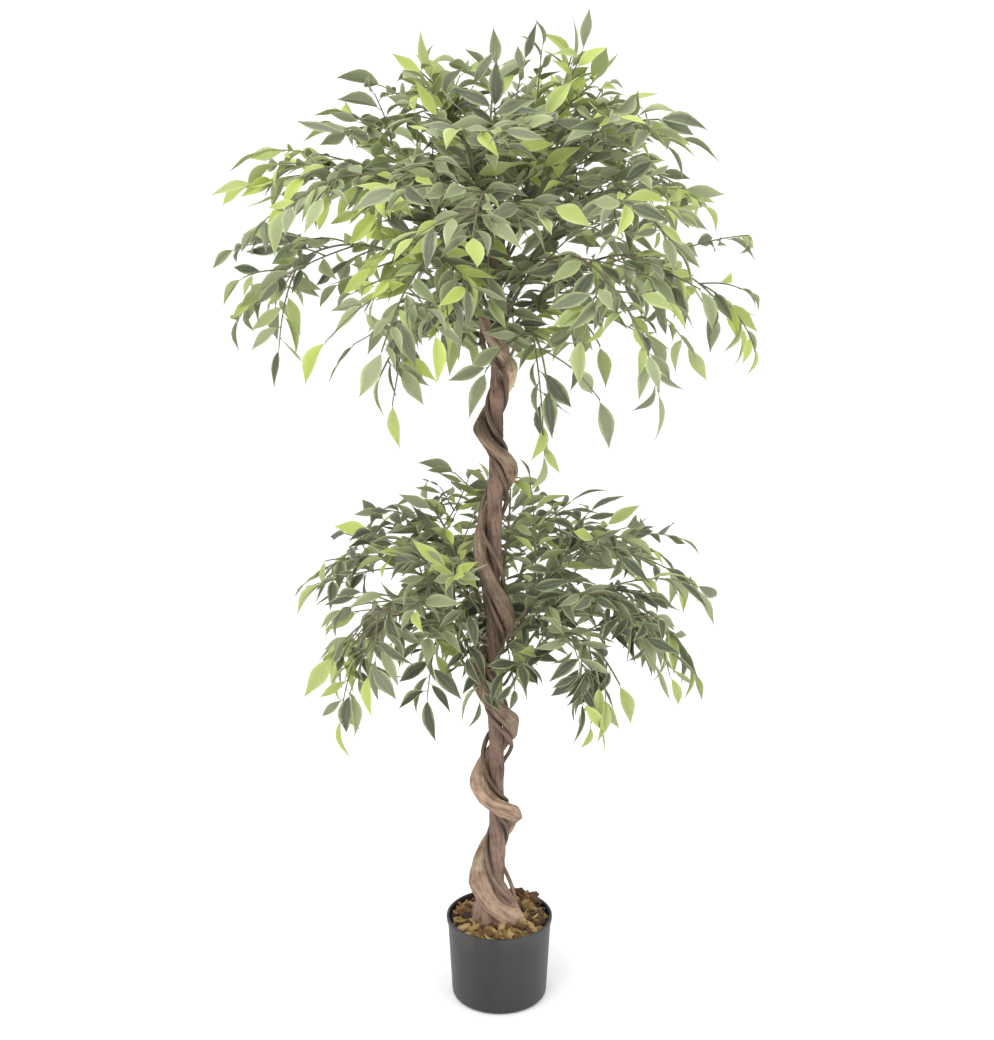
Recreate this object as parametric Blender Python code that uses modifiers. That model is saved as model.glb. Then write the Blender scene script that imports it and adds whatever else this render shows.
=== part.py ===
"""A potted two-tier topiary ficus: a nursery pot of soil and bark chips, a trunk of stems wound round
each other, and leafy sprays that arch out of it in a lower tier and an upper crown.

Metres, +Z up. The origin is the centre of the pot's underside. +X is to the right and -Y is the front.
"""

import math
import random
from typing import NamedTuple

import bmesh
import bpy
from mathutils import Matrix, Vector
from mathutils.bvhtree import BVHTree

# Pot
POT_HEIGHT = 0.136
POT_TOP_RADIUS = 0.0815
POT_BASE_RADIUS = 0.0745
POT_WALL = 0.0022
POT_FLOOR = 0.0030
POT_FOOT_ROUND = 0.0080
RIM_OUT = 0.0018
RIM_DEPTH = 0.0075
RIM_CHAMFER = 0.001
TURNED_STEPS = 32
SHARP_FROM = 35.0

# Soil and bark chips
FIT_GAP = 0.0004
SOIL_TOP = 0.112
SOIL_STEPS = 16
SOIL_CHAMFER = 0.004
BARK_EDGE = 0.126
BARK_MIDDLE = 0.133
BARK_SHOULDER = (0.045, 0.131)
CHIP_COUNT = 22
CHIP_SEED = 7
CHIP_LENGTH = 0.034
CHIP_WIDTH = 0.015
CHIP_THICKNESS = 0.0042
CHIP_SHORTEST = 0.7
CHIP_NARROW_END = (0.45, 0.8)
CHIP_RISE = (-0.001, 0.0022)
CHIP_TURN = 137.5
CHIP_TILT = 9.0
CHIP_CLEAR = 0.0015

# Trunk
TRUNK_X = -0.0065
TRUNK_WOBBLE = 0.0028
# How fast the trunk wanders to the side and in depth, and its start in depth, in radians
WANDER = (9.0, 7.0, 1.2)
MAIN_FOOT = 0.020
MAIN_TOP = 1.200
MAIN_RADIUS_LOW = 0.0128
MAIN_RADIUS_HIGH = 0.0092
MAIN_STEPS = 18
LIANA_FOOT = 0.030
LIANA_RADIUS_LOW = 0.0136
LIANA_RADIUS_HIGH = 0.0082
LIANA_STEPS = 5
# Heights at which the thick liana lies at the trunk's right, left, right and so on, up from the bark
LIANA_SIDES = (0.125, 0.209, 0.308, 0.362, 0.457, 0.543, 0.630, 0.750, 0.860, 0.923, 1.000, 1.085)
VINE_FOOT = 0.085
VINE_RADIUS = 0.0034
VINE_STEPS = 4
VINE_LOOP = 0.009
VINE_LOOP_TURN = (1.9, 0.6)
VINE_LOOP_FROM = 0.05
# Thin vines: how many degrees each lies ahead of the liana, and the height of its tip
VINES = {"vine_back": (72.0, 1.02), "vine_front": (-62.0, 1.07)}
STEM_TIP_TAPER = 0.6
# Surface roots at the trunk's foot: their bearings, and the height and distance out of each joint
ROOT_ANGLES = (152.0, 204.0)
ROOT_PATH = ((0.160, 0.001, 0.0085), (0.137, 0.021, 0.0077), (0.118, 0.034, 0.0047))

# Twigs
TWIG_RADIUS_ROOT = 0.0032
TWIG_RADIUS_TIP = 0.0018
SIDE_TWIG_RADII = (0.0018, 0.0018, 0.0015)
TWIG_STUB = 0.008
ARCH_SHARES = (0.0, 0.34, 0.68, 1.0)
SIDE_TWIG_SHARES = (0.50, 0.70)
SIDE_TWIG_LENGTHS = (0.105, 0.150)
FULL_SIDE_TWIG_REACH = 0.16
# A side twig sets off along and across the main one by these shares, then swings back and droops
SIDE_TWIG_HEADING = (0.62, 0.78)
SIDE_TWIG_BEND = 0.52
SIDE_TWIG_SWING = 0.25
SIDE_TWIG_FALL = (0.18, 0.45)
SEAT_GAP = 0.0004
SEAT_SEARCH = 0.12
SEAT_SHARES = (0.0, 0.25, 0.5, 0.75)

# Leaves
MAIN_LEAF_SHARES = (0.42, 0.64, 0.86)
SHORT_REACH = 0.23
SIDE_LEAF_SHARE = 0.5
TIP_LEAF_SUNK = 0.003
LEAF_LENGTHS = (0.058, 0.076)
LEAF_WIDTHS = (0.44, 0.52)
LEAF_THICKNESS = 0.0008
LEAF_ROWS = (0.0, 0.30, 0.65, 1.0)
LEAF_ROW_WIDTHS = (0.0, 0.95, 0.70, 0.0)
LEAF_DROOP = 0.16
LEAF_SPREAD = (38.0, 62.0)
LEAF_SWAY = 0.22
LEAF_ROLL = 42.0
ATTEMPT_TURN = 2.0
# How far the upper faces of leaves look outwards, against 1.0 upwards
LEAF_OUTLOOK = 1.3
LEAF_CLEARANCE = 0.0006
OWN_TWIG_CLEAR = 0.2
ATTEMPTS = 14


class Whorl(NamedTuple):
    """Sprays that leave the trunk at about one height."""

    name: str
    count: int
    first: float  # azimuth of the first spray, in degrees
    arc: float  # degrees that they spread over
    foot: float  # height at the trunk
    reach: float  # how far out the twigs end
    tip: float  # height at which they end
    lift: float  # how high the arch is pulled over the straight line
    hang: float  # how far the leaves hang, negative where they stand up


WHORLS = (
    Whorl("crown_low", 4, 208.0, 360.0, 1.030, 0.170, 1.018, 0.130, 0.57),
    Whorl("crown_wide", 6, 178.0, 360.0, 1.070, 0.345, 1.105, 0.210, 0.50),
    Whorl("crown_mid", 6, 208.0, 360.0, 1.110, 0.310, 1.225, 0.185, 0.32),
    Whorl("crown_high", 5, 186.0, 360.0, 1.145, 0.225, 1.368, 0.105, 0.10),
    Whorl("crown_top", 4, 282.0, 360.0, 1.178, 0.100, 1.398, 0.030, -0.35),
    Whorl("tier_low", 5, 326.0, 242.0, 0.535, 0.228, 0.556, 0.175, 0.68),
    Whorl("tier_mid", 5, 341.0, 231.0, 0.590, 0.280, 0.648, 0.140, 0.46),
    Whorl("tier_high", 4, 355.0, 218.0, 0.645, 0.149, 0.774, 0.050, -0.08),
)
SPRAY_SEED = 23
SPRAY_SWERVE = 7.0
FOOT_SPREAD = 0.018
REACH_SPREAD = (0.90, 1.10)
TIP_SPREAD = 0.035


def clear_scene():
    for obj in list(bpy.data.objects):
        bpy.data.objects.remove(obj, do_unlink=True)


def new_collection(name):
    collection = bpy.data.collections.new(name)
    bpy.context.scene.collection.children.link(collection)
    return collection


def material(name, colour, roughness):
    made = bpy.data.materials.new(name)
    made.use_nodes = True
    shader = made.node_tree.nodes["Principled BSDF"]
    shader.inputs["Base Color"].default_value = (*colour, 1.0)
    shader.inputs["Roughness"].default_value = roughness
    return made


def add_object(name, mesh, collection, finish):
    obj = bpy.data.objects.new(name, mesh)
    collection.objects.link(obj)
    if finish and not mesh.materials:
        mesh.materials.append(finish)
    return obj


def mesh_from(bm, name):
    mesh = bpy.data.meshes.new(name)
    bm.to_mesh(mesh)
    bm.free()
    return mesh


def apply_modifiers(obj):
    bpy.context.view_layer.update()
    graph = bpy.context.evaluated_depsgraph_get()
    mesh = bpy.data.meshes.new_from_object(obj.evaluated_get(graph), depsgraph=graph)
    mesh.name = obj.name
    obj.modifiers.clear()
    obj.data = mesh


def join(obj, collection):
    """Fuses a collection's objects to obj and removes them."""
    modifier = obj.modifiers.new("join", "BOOLEAN")
    modifier.operation = "UNION"
    modifier.operand_type = "COLLECTION"
    modifier.collection = collection
    apply_modifiers(obj)
    for other in list(collection.objects):
        bpy.data.objects.remove(other, do_unlink=True)
    bpy.data.collections.remove(collection)


def cut(obj, cutters):
    """Cuts each cutter from obj and removes it."""
    for cutter in cutters:
        modifier = obj.modifiers.new("cut", "BOOLEAN")
        modifier.operation = "DIFFERENCE"
        modifier.object = cutter
        modifier.solver = "MANIFOLD"
        apply_modifiers(obj)
        bpy.data.objects.remove(cutter, do_unlink=True)


def turned(name, profile, collection, finish, steps=TURNED_STEPS):
    """A closed turned solid from (radius, height) points that start and end on the axis."""
    mesh = bpy.data.meshes.new(name)
    points = [(radius, 0.0, height) for radius, height in profile]
    mesh.from_pydata(points, [(i, i + 1) for i in range(len(points) - 1)], [])
    obj = add_object(name, mesh, collection, finish)
    screw = obj.modifiers.new("turn", "SCREW")
    screw.axis = "Z"
    screw.steps = screw.render_steps = steps
    screw.use_merge_vertices = True
    screw.merge_threshold = 0.00005
    apply_modifiers(obj)
    obj.data.shade_smooth()
    obj.data.set_sharp_from_angle(angle=math.radians(SHARP_FROM))
    return obj


def tube(name, points, radii, collection, finish, resolution=0, section=None):
    """A closed tube along points, made as a bevelled curve. A section makes it angular."""
    data = bpy.data.curves.new(name, "CURVE")
    data.dimensions = "3D"
    data.bevel_depth = 1.0
    data.bevel_resolution = resolution
    if section:
        data.bevel_mode = "OBJECT"
        data.bevel_object = section
    data.use_fill_caps = True
    spline = data.splines.new("POLY")
    spline.points.add(len(points) - 1)
    for point, place, radius in zip(spline.points, points, radii, strict=True):
        point.co = (*place, 1.0)
        point.radius = radius
    curve = bpy.data.objects.new(name, data)
    collection.objects.link(curve)
    bpy.context.view_layer.update()
    graph = bpy.context.evaluated_depsgraph_get()
    mesh = bpy.data.meshes.new_from_object(curve.evaluated_get(graph), depsgraph=graph)
    bpy.data.objects.remove(curve, do_unlink=True)
    bm = bmesh.new()
    bm.from_mesh(mesh)
    bmesh.ops.remove_doubles(bm, verts=bm.verts, dist=0.00002)
    if not section:
        # The same diagonals in a stem and in the fatter copy that cuts its hole keep the gap even
        bmesh.ops.triangulate(bm, faces=bm.faces, quad_method="SHORT_EDGE")
    bm.to_mesh(mesh)
    bm.free()
    mesh.name = name
    mesh.shade_smooth()
    mesh.materials.clear()
    return add_object(name, mesh, collection, finish)


def blend(a, b, share):
    return a + (b - a) * share


def pot_radius(height):
    """Outer radius of the pot's straight wall at a height."""
    return blend(POT_BASE_RADIUS, POT_TOP_RADIUS, height / POT_HEIGHT)


def make_pot(collection, finish):
    rim = POT_TOP_RADIUS + RIM_OUT
    under_rim = POT_HEIGHT - RIM_DEPTH
    profile = [(0.0, POT_FLOOR), (pot_radius(POT_FLOOR) - POT_WALL, POT_FLOOR)]
    profile += [(POT_TOP_RADIUS - POT_WALL, POT_HEIGHT), (rim - RIM_CHAMFER, POT_HEIGHT)]
    profile += [(rim, POT_HEIGHT - RIM_CHAMFER), (rim, under_rim)]
    profile.append((pot_radius(under_rim - RIM_CHAMFER), under_rim - RIM_CHAMFER))
    for degrees in (0.0, 45.0, 90.0):
        turn = math.radians(degrees)
        inset = POT_FOOT_ROUND * (1.0 - math.cos(turn))
        height = POT_FOOT_ROUND * (1.0 - math.sin(turn))
        profile.append((pot_radius(POT_FOOT_ROUND) - inset, height))
    profile.append((0.0, 0.0))
    return turned("pot", profile, collection, finish)


def main_radius(height):
    share = (height - MAIN_FOOT) / (MAIN_TOP - MAIN_FOOT)
    return blend(MAIN_RADIUS_LOW, MAIN_RADIUS_HIGH, share)


def liana_radius(height):
    share = (height - LIANA_SIDES[0]) / (LIANA_SIDES[-1] - LIANA_SIDES[0])
    return blend(LIANA_RADIUS_LOW, LIANA_RADIUS_HIGH, min(max(share, 0.0), 1.0))


def across_plane(degrees):
    """The level direction at a bearing: 0 is +X and 90 is +Y."""
    turn = math.radians(degrees)
    return Vector((math.cos(turn), math.sin(turn), 0.0))


def trunk_centre(height):
    """Middle of the main stem at a height. It wanders a little, and is plumb in the soil."""
    rise = max(height - LIANA_SIDES[0], 0.0)
    side_pace, depth_pace, start = WANDER
    side = math.sin(rise * side_pace)
    depth = math.sin(rise * depth_pace + start) - math.sin(start)
    return Vector((TRUNK_X + TRUNK_WOBBLE * side, TRUNK_WOBBLE * depth, height))


def winding(step):
    """Height at which the liana has wound step half-turns up the trunk."""
    last = len(LIANA_SIDES) - 1
    low = min(int(step), last - 1)
    share = step - low
    start = LIANA_SIDES[low]
    end = LIANA_SIDES[low + 1]
    slope_start = (end - LIANA_SIDES[max(low - 1, 0)]) / 2.0
    slope_end = (LIANA_SIDES[min(low + 2, last)] - start) / 2.0
    cube = share**3
    square = share**2
    height = (2 * cube - 3 * square + 1) * start + (3 * square - 2 * cube) * end
    return height + (cube - 2 * square + share) * slope_start + (cube - square) * slope_end


def wound(foot, top, ahead, steps, radius_at, loop_at):
    """Points and radii of a stem wound round the main one, plumb below the bark."""
    chord = math.cos(math.pi / 2.0 / steps)
    points = []
    radii = []
    for count in range((len(LIANA_SIDES) - 1) * steps + 1):
        step = count / steps
        height = winding(step)
        if height > top:
            break
        radius = radius_at(height)
        out = (main_radius(height) + radius + FIT_GAP) / chord + loop_at(step, height)
        points.append(trunk_centre(height) + across_plane(ahead - 180.0 * step) * out)
        radii.append(radius)
    points.insert(0, Vector((points[0].x, points[0].y, foot)))
    radii.insert(0, radii[0])
    radii[-1] *= STEM_TIP_TAPER
    return points, radii


def no_loop(step, height):
    return 0.0


def vine_radius(height):
    return VINE_RADIUS


def vine_loop(step, height):
    """How far a thin vine stands off the trunk: a loose loop every few half-turns, none at the foot."""
    pace, start = VINE_LOOP_TURN
    swing = max(math.sin(step * pace + start), 0.0)
    return VINE_LOOP * swing**2 * min((height - LIANA_SIDES[0]) / VINE_LOOP_FROM, 1.0)


def make_trunk(collection, finish, extra=0.0, prefix=""):
    """The wound stems. With extra, they are that much fatter and longer, to cut the holes they stand in."""

    def stem(name, points, radii, sides):
        fatter = [radius + extra for radius in radii]
        return tube(prefix + name, points, fatter, collection, finish, sides)

    rises = [MAIN_FOOT - extra + (MAIN_TOP - MAIN_FOOT) * i / MAIN_STEPS for i in range(MAIN_STEPS + 1)]
    radii = [main_radius(height) for height in rises]
    radii[-1] *= STEM_TIP_TAPER
    stems = [stem("stem_main", [trunk_centre(height) for height in rises], radii, 2)]
    roots = new_collection(prefix + "roots")
    for bearing in ROOT_ANGLES:
        points = [trunk_centre(height) + across_plane(bearing) * out for height, out, _ in ROOT_PATH]
        points[-1] += across_plane(bearing) * extra
        tube("root", points, [radius + extra for _, _, radius in ROOT_PATH], roots, finish, 1)
    join(stems[0], roots)
    route = wound(LIANA_FOOT - extra, MAIN_TOP, 0.0, LIANA_STEPS, liana_radius, no_loop)
    stems.append(stem("stem_liana", *route, 1))
    for name, (ahead, top) in VINES.items():
        route = wound(VINE_FOOT - extra, top, ahead, VINE_STEPS, vine_radius, vine_loop)
        stems.append(stem(name, *route, 0))
    return stems


def make_soil(collection, finish):
    lowest = POT_FLOOR + FIT_GAP
    wall = POT_WALL + 2.0 * FIT_GAP
    shoulder = lowest + SOIL_CHAMFER
    profile = [(0.0, SOIL_TOP), (pot_radius(SOIL_TOP) - wall, SOIL_TOP)]
    profile += [(pot_radius(shoulder) - wall, shoulder), (pot_radius(lowest) - wall - SOIL_CHAMFER, lowest)]
    profile.append((0.0, lowest))
    return turned("soil", profile, collection, finish, SOIL_STEPS)


def chip(draw, out, reach, bearing):
    """A bark chip, narrower at one end, that lies a little askew on the mound."""
    bm = bmesh.new()
    bmesh.ops.create_cube(bm, size=1.0)
    size = (CHIP_LENGTH * draw.uniform(CHIP_SHORTEST, 1.0), CHIP_WIDTH, CHIP_THICKNESS)
    bmesh.ops.scale(bm, vec=size, verts=bm.verts)
    for vertex in bm.verts:
        if vertex.co.x > 0.0:
            vertex.co.y *= draw.uniform(*CHIP_NARROW_END)
    place = across_plane(bearing) * out
    place.z = blend(BARK_MIDDLE, BARK_EDGE, (out / reach) ** 2) + draw.uniform(*CHIP_RISE)
    matrix = Matrix.Translation(place) @ Matrix.Rotation(draw.uniform(0.0, 2.0 * math.pi), 4, "Z")
    for axis in "XY":
        matrix @= Matrix.Rotation(math.radians(draw.uniform(-CHIP_TILT, CHIP_TILT)), 4, axis)
    bmesh.ops.transform(bm, matrix=matrix, verts=bm.verts)
    return mesh_from(bm, "chip")


def make_bark(collection, finish):
    """The mulch: a low mound with bark chips sunk into it and standing out of it."""
    bottom = SOIL_TOP + FIT_GAP
    wall = POT_WALL + FIT_GAP
    profile = [(0.0, BARK_MIDDLE), BARK_SHOULDER, (pot_radius(BARK_EDGE) - wall, BARK_EDGE)]
    profile += [(pot_radius(bottom) - wall, bottom), (0.0, bottom)]
    bark = turned("bark_chips", profile, collection, finish)
    chips = new_collection("chips")
    draw = random.Random(CHIP_SEED)
    reach = POT_TOP_RADIUS - POT_WALL - CHIP_LENGTH / 2.0 - CHIP_CLEAR
    for i in range(CHIP_COUNT):
        out = reach * math.sqrt((i + 1.0) / CHIP_COUNT)
        add_object("chip", chip(draw, out, reach, CHIP_TURN * i), chips, finish)
    join(bark, chips)
    return bark


def triangle_corners():
    """Corners of the twigs' three-sided section, of radius 1, with one corner up."""
    turns = [math.radians(90.0 - 120.0 * i) for i in range(3)]
    return [Vector((math.cos(turn), math.sin(turn), 0.0)) for turn in turns]


def triangle_section(collection):
    """The outline for the twigs, which is hidden."""
    data = bpy.data.curves.new("twig_section", "CURVE")
    spline = data.splines.new("POLY")
    spline.points.add(2)
    for point, corner in zip(spline.points, triangle_corners(), strict=True):
        point.co = (*corner, 1.0)
    spline.use_cyclic_u = True
    section = bpy.data.objects.new("twig_section", data)
    section.hide_render = True
    collection.objects.link(section)
    return section


def arch(root, out, side, reach, tip_height, lift):
    """Points of a main twig: a short stub square to the trunk, then an arch that ends at its tip."""
    start = root + out * TWIG_STUB
    end = Vector((out.x * reach, out.y * reach, tip_height)) + side
    middle = (start + end) / 2.0 + Vector((0.0, 0.0, lift)) - side * 0.5
    points = [root]
    for share in ARCH_SHARES:
        rest = 1.0 - share
        points.append(start * rest**2 + middle * (2.0 * share * rest) + end * share**2)
    return points


def place_along(points, share):
    """The place at a share of a twig's length, and its heading there."""
    lengths = [(b - a).length for a, b in zip(points, points[1:], strict=False)]
    left = share * sum(lengths)
    for i, length in enumerate(lengths):
        if left <= length or i == len(lengths) - 1:
            heading = (points[i + 1] - points[i]).normalized()
            return points[i] + heading * left, heading
        left -= length


def side_twig(points, share, hand, length, hang):
    """Points of a side twig that leaves the main one at a share of its length, to one hand, and droops."""
    place, along = place_along(points, share)
    across = along.cross(Vector((0.0, 0.0, 1.0))).normalized() * hand
    heading = (along * SIDE_TWIG_HEADING[0] + across * SIDE_TWIG_HEADING[1]).normalized()
    middle = place + heading * length * SIDE_TWIG_BEND
    fall = Vector((0.0, 0.0, SIDE_TWIG_FALL[0] + SIDE_TWIG_FALL[1] * max(hang, 0.0)))
    onward = (heading + along * SIDE_TWIG_SWING - fall).normalized()
    return [place, middle, middle + onward * length * (1.0 - SIDE_TWIG_BEND)]


def spray_twigs(whorl, number, trunk):
    """A spray's main twig and side twigs, and the side that its first leaf and side twig stand to."""
    draw = random.Random(f"{SPRAY_SEED} {whorl.name} {number}")
    gaps = whorl.count if whorl.arc == 360.0 else whorl.count - 1
    bearing = whorl.first + whorl.arc * number / gaps + draw.uniform(-SPRAY_SWERVE, SPRAY_SWERVE)
    out = across_plane(bearing)
    root = seat(trunk, out, whorl.foot + draw.uniform(-FOOT_SPREAD, FOOT_SPREAD))
    reach = whorl.reach * draw.uniform(*REACH_SPREAD)
    tip = whorl.tip + draw.uniform(-TIP_SPREAD, TIP_SPREAD)
    side = across_plane(bearing + 90.0) * draw.uniform(-TIP_SPREAD, TIP_SPREAD)
    hand = draw.choice((-1.0, 1.0))
    main = arch(root, out, side, reach, tip, whorl.lift)
    twigs = []
    for share, side_hand in zip(SIDE_TWIG_SHARES, (hand, -hand), strict=True):
        length = draw.uniform(*SIDE_TWIG_LENGTHS) * min(reach / FULL_SIDE_TWIG_REACH, 1.0)
        twigs.append(side_twig(main, share, side_hand, length, whorl.hang))
    return main, twigs, hand


def leaf_slots(whorl, main, twigs, hand):
    """Where a spray's leaves grow: (base, heading of the twig, side it stands to, how far it hangs)."""
    main_shares = MAIN_LEAF_SHARES[1:] if whorl.reach < SHORT_REACH else MAIN_LEAF_SHARES
    slots = []
    for points in (main, *twigs):
        heading = (points[-1] - points[-2]).normalized()
        slots.append((points[-1] - heading * TIP_LEAF_SUNK, heading, 0.0, whorl.hang))
    for i, share in enumerate(main_shares):
        slots.append((*place_along(main, share), hand * (-1) ** i, whorl.hang))
    for points, side in zip(twigs, (hand, -hand), strict=True):
        slots.append((*place_along(points, SIDE_LEAF_SHARE), side, whorl.hang))
    return slots


def leaf_frame(slot, key, attempt):
    """Matrix, length and width share of a leaf: +Y runs to its tip and +Z is its upper face."""
    base, along, side, hang = slot
    draw = random.Random(f"{key} {attempt}")
    across = along.cross(Vector((0.0, 0.0, 1.0)))
    across = across.normalized() if across.length > 0.05 else Vector((1.0, 0.0, 0.0))
    spread = math.radians(draw.uniform(*LEAF_SPREAD) + attempt * ATTEMPT_TURN) * side
    sway = Vector([draw.uniform(-LEAF_SWAY, LEAF_SWAY) for _ in range(3)])
    heading = along * math.cos(spread) + across * math.sin(spread) + sway - Vector((0.0, 0.0, hang))
    heading.normalize()
    up = Vector((0.0, 0.0, 1.0)) + Vector((base.x, base.y, 0.0)).normalized() * LEAF_OUTLOOK
    face = (up - heading * up.dot(heading)).normalized()
    face = Matrix.Rotation(math.radians(draw.uniform(-LEAF_ROLL, LEAF_ROLL)), 3, heading) @ face
    matrix = Matrix((heading.cross(face), heading, face)).transposed().to_4x4()
    matrix.translation = base
    return matrix, draw.uniform(*LEAF_LENGTHS), draw.uniform(*LEAF_WIDTHS)


def blade(matrix, length, width_share, thickness, start=0.0):
    """A leaf as one drooping blade that comes to a point at both ends, from a share of its length on."""
    bm = bmesh.new()
    bmesh.ops.create_grid(bm, x_segments=1, y_segments=len(LEAF_ROWS) - 1, size=1.0)
    for vertex in bm.verts:
        row = round((vertex.co.y + 1.0) * (len(LEAF_ROWS) - 1) / 2.0)
        share = max(LEAF_ROWS[row], start)
        half = length * width_share * 0.5 * LEAF_ROW_WIDTHS[row]
        vertex.co = (half * vertex.co.x, share * length, -LEAF_DROOP * length * share**2)
    bmesh.ops.remove_doubles(bm, verts=bm.verts, dist=0.0002)
    bmesh.ops.triangulate(bm, faces=bm.faces)
    bmesh.ops.solidify(bm, geom=bm.faces[:], thickness=thickness)
    bmesh.ops.recalc_face_normals(bm, faces=bm.faces)
    bmesh.ops.transform(bm, matrix=matrix, verts=bm.verts)
    return bm


class Space:
    """What already stands in the plant, so that a new piece can be tried against it."""

    def __init__(self):
        self.items = []

    @staticmethod
    def item(bm, owner, leaf):
        low = Vector(map(min, zip(*(vertex.co for vertex in bm.verts), strict=True)))
        high = Vector(map(max, zip(*(vertex.co for vertex in bm.verts), strict=True)))
        return owner, leaf, (low + high) / 2.0, (high - low).length / 2.0, BVHTree.FromBMesh(bm)

    def clear(self, whole, owner, outer):
        """Whether a leaf crosses nothing. Against the twigs that carry it, only its outer part counts."""
        _, _, middle, size, tree = self.item(whole, owner, True)
        outer_tree = BVHTree.FromBMesh(outer)
        for other, leaf, centre, reach, other_tree in self.items:
            if (middle - centre).length > size + reach:
                continue
            own_wood = other == owner and not leaf
            if (outer_tree if own_wood else tree).overlap(other_tree):
                return False
        return True

    def add(self, bm, owner, leaf):
        self.items.append(self.item(bm, owner, leaf))


def bmesh_of(obj, fatter=0.0):
    """A copy of an object's mesh, with its surface moved out by fatter."""
    bm = bmesh.new()
    bm.from_mesh(obj.data)
    bm.normal_update()
    for vertex in bm.verts:
        vertex.co += vertex.normal * fatter
    return bm


def seat(trunk, out, height):
    """Where a twig that leaves the trunk along out has its foot: just off the outermost stem."""
    centre = trunk_centre(height)
    across = Vector((-out.y, out.x, 0.0))
    corners = triangle_corners()
    spots = [Vector()]
    for start, end in zip(corners, corners[1:] + corners[:1], strict=True):
        spots += [start.lerp(end, share) * TWIG_RADIUS_ROOT for share in SEAT_SHARES]
    hits = []
    for spot in spots:
        level = centre + across * spot.x + Vector((0.0, 0.0, spot.y))
        for stem in trunk:
            place, _, _, _ = stem.ray_cast(level + out * SEAT_SEARCH, -out, SEAT_SEARCH)
            if place:
                hits.append((place - centre).dot(out))
    return centre + out * (max(hits) + SEAT_GAP)


def make_twigs(name, main, twigs, space, section, finish):
    """The wood of one spray: a collection of its main twig, which has the spray's name, and side twigs."""
    wood = new_collection(name)
    last = len(main) - 1
    radii = [blend(TWIG_RADIUS_ROOT, TWIG_RADIUS_TIP, i / last) for i in range(last + 1)]
    tube(name, main, radii, wood, finish, section=section)
    for twig in twigs:
        tube(name + "_side", twig, SIDE_TWIG_RADII, wood, finish, section=section)
    for piece in wood.objects:
        thick = bmesh_of(piece, LEAF_CLEARANCE / 2.0)
        space.add(thick, name, False)
        thick.free()
    return wood


def grow_leaf(name, slot, number, wood, space, finish):
    """Adds a leaf on the first attempt that clears the plant. Returns whether there was room."""
    for attempt in range(ATTEMPTS):
        shape = leaf_frame(slot, f"{name} {number}", attempt)
        padded = LEAF_THICKNESS + 2.0 * LEAF_CLEARANCE
        whole = blade(*shape, padded)
        outer = blade(*shape, padded, OWN_TWIG_CLEAR)
        fits = space.clear(whole, name, outer)
        if fits:
            space.add(whole, name, True)
            add_object("leaf", mesh_from(blade(*shape, LEAF_THICKNESS), "leaf"), wood, finish)
        whole.free()
        outer.free()
        if fits:
            return True
    return False


def make_sprays(collection, finish, trunk_objects):
    """Every spray of both tiers, each one body: its twigs with its leaves fused on."""
    space = Space()
    section = triangle_section(collection)
    trunk = []
    for stem in trunk_objects:
        bm = bmesh_of(stem)
        space.add(bm, stem.name, False)
        trunk.append(BVHTree.FromBMesh(bm))
        bm.free()
    sprays = []
    for whorl in WHORLS:
        for number in range(whorl.count):
            name = f"{whorl.name}_{number + 1}"
            main, twigs, hand = spray_twigs(whorl, number, trunk)
            wood = make_twigs(name, main, twigs, space, section, finish)
            sprays.append((name, wood, leaf_slots(whorl, main, twigs, hand)))
    left_out = 0
    for number in range(max(len(slots) for _, _, slots in sprays)):
        for name, wood, slots in sprays:
            if number < len(slots):
                left_out += not grow_leaf(name, slots[number], number, wood, space, finish)
    for name, wood, _ in sprays:
        stem = wood.objects[name]
        wood.objects.unlink(stem)
        collection.objects.link(stem)
        join(stem, wood)
    bpy.data.objects.remove(section, do_unlink=True)
    print(f"{len(sprays)} sprays, {left_out} leaves left out for want of room")


def main():
    clear_scene()
    plant = new_collection("potted_topiary_ficus")
    cutters = new_collection("cutters")
    pot_black = material("pot_plastic", (0.055, 0.056, 0.058), 0.5)
    soil_brown = material("potting_soil", (0.045, 0.030, 0.020), 0.95)
    bark_tan = material("bark_chips", (0.34, 0.21, 0.09), 0.85)
    stem_brown = material("stem_bark", (0.23, 0.13, 0.08), 0.8)
    leaf_green = material("foliage", (0.10, 0.17, 0.045), 0.45)

    make_pot(plant, pot_black)
    trunk = make_trunk(plant, stem_brown)
    for filling in (make_soil(plant, soil_brown), make_bark(plant, bark_tan)):
        cut(filling, make_trunk(cutters, None, FIT_GAP, "cutter_"))
    bpy.data.collections.remove(cutters)
    make_sprays(plant, leaf_green, trunk)


main()
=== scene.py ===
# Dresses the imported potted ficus: pot, mulch, wound trunk and leafy sprays, with camera and studio light.
# Metres, +Z up, -Y towards the camera. Twigs and stems follow the same formulas as the CAD model's.
import itertools
import math
import random

import bmesh
import bpy
from mathutils import Matrix, Vector, noise
from mathutils.bvhtree import BVHTree


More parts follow.
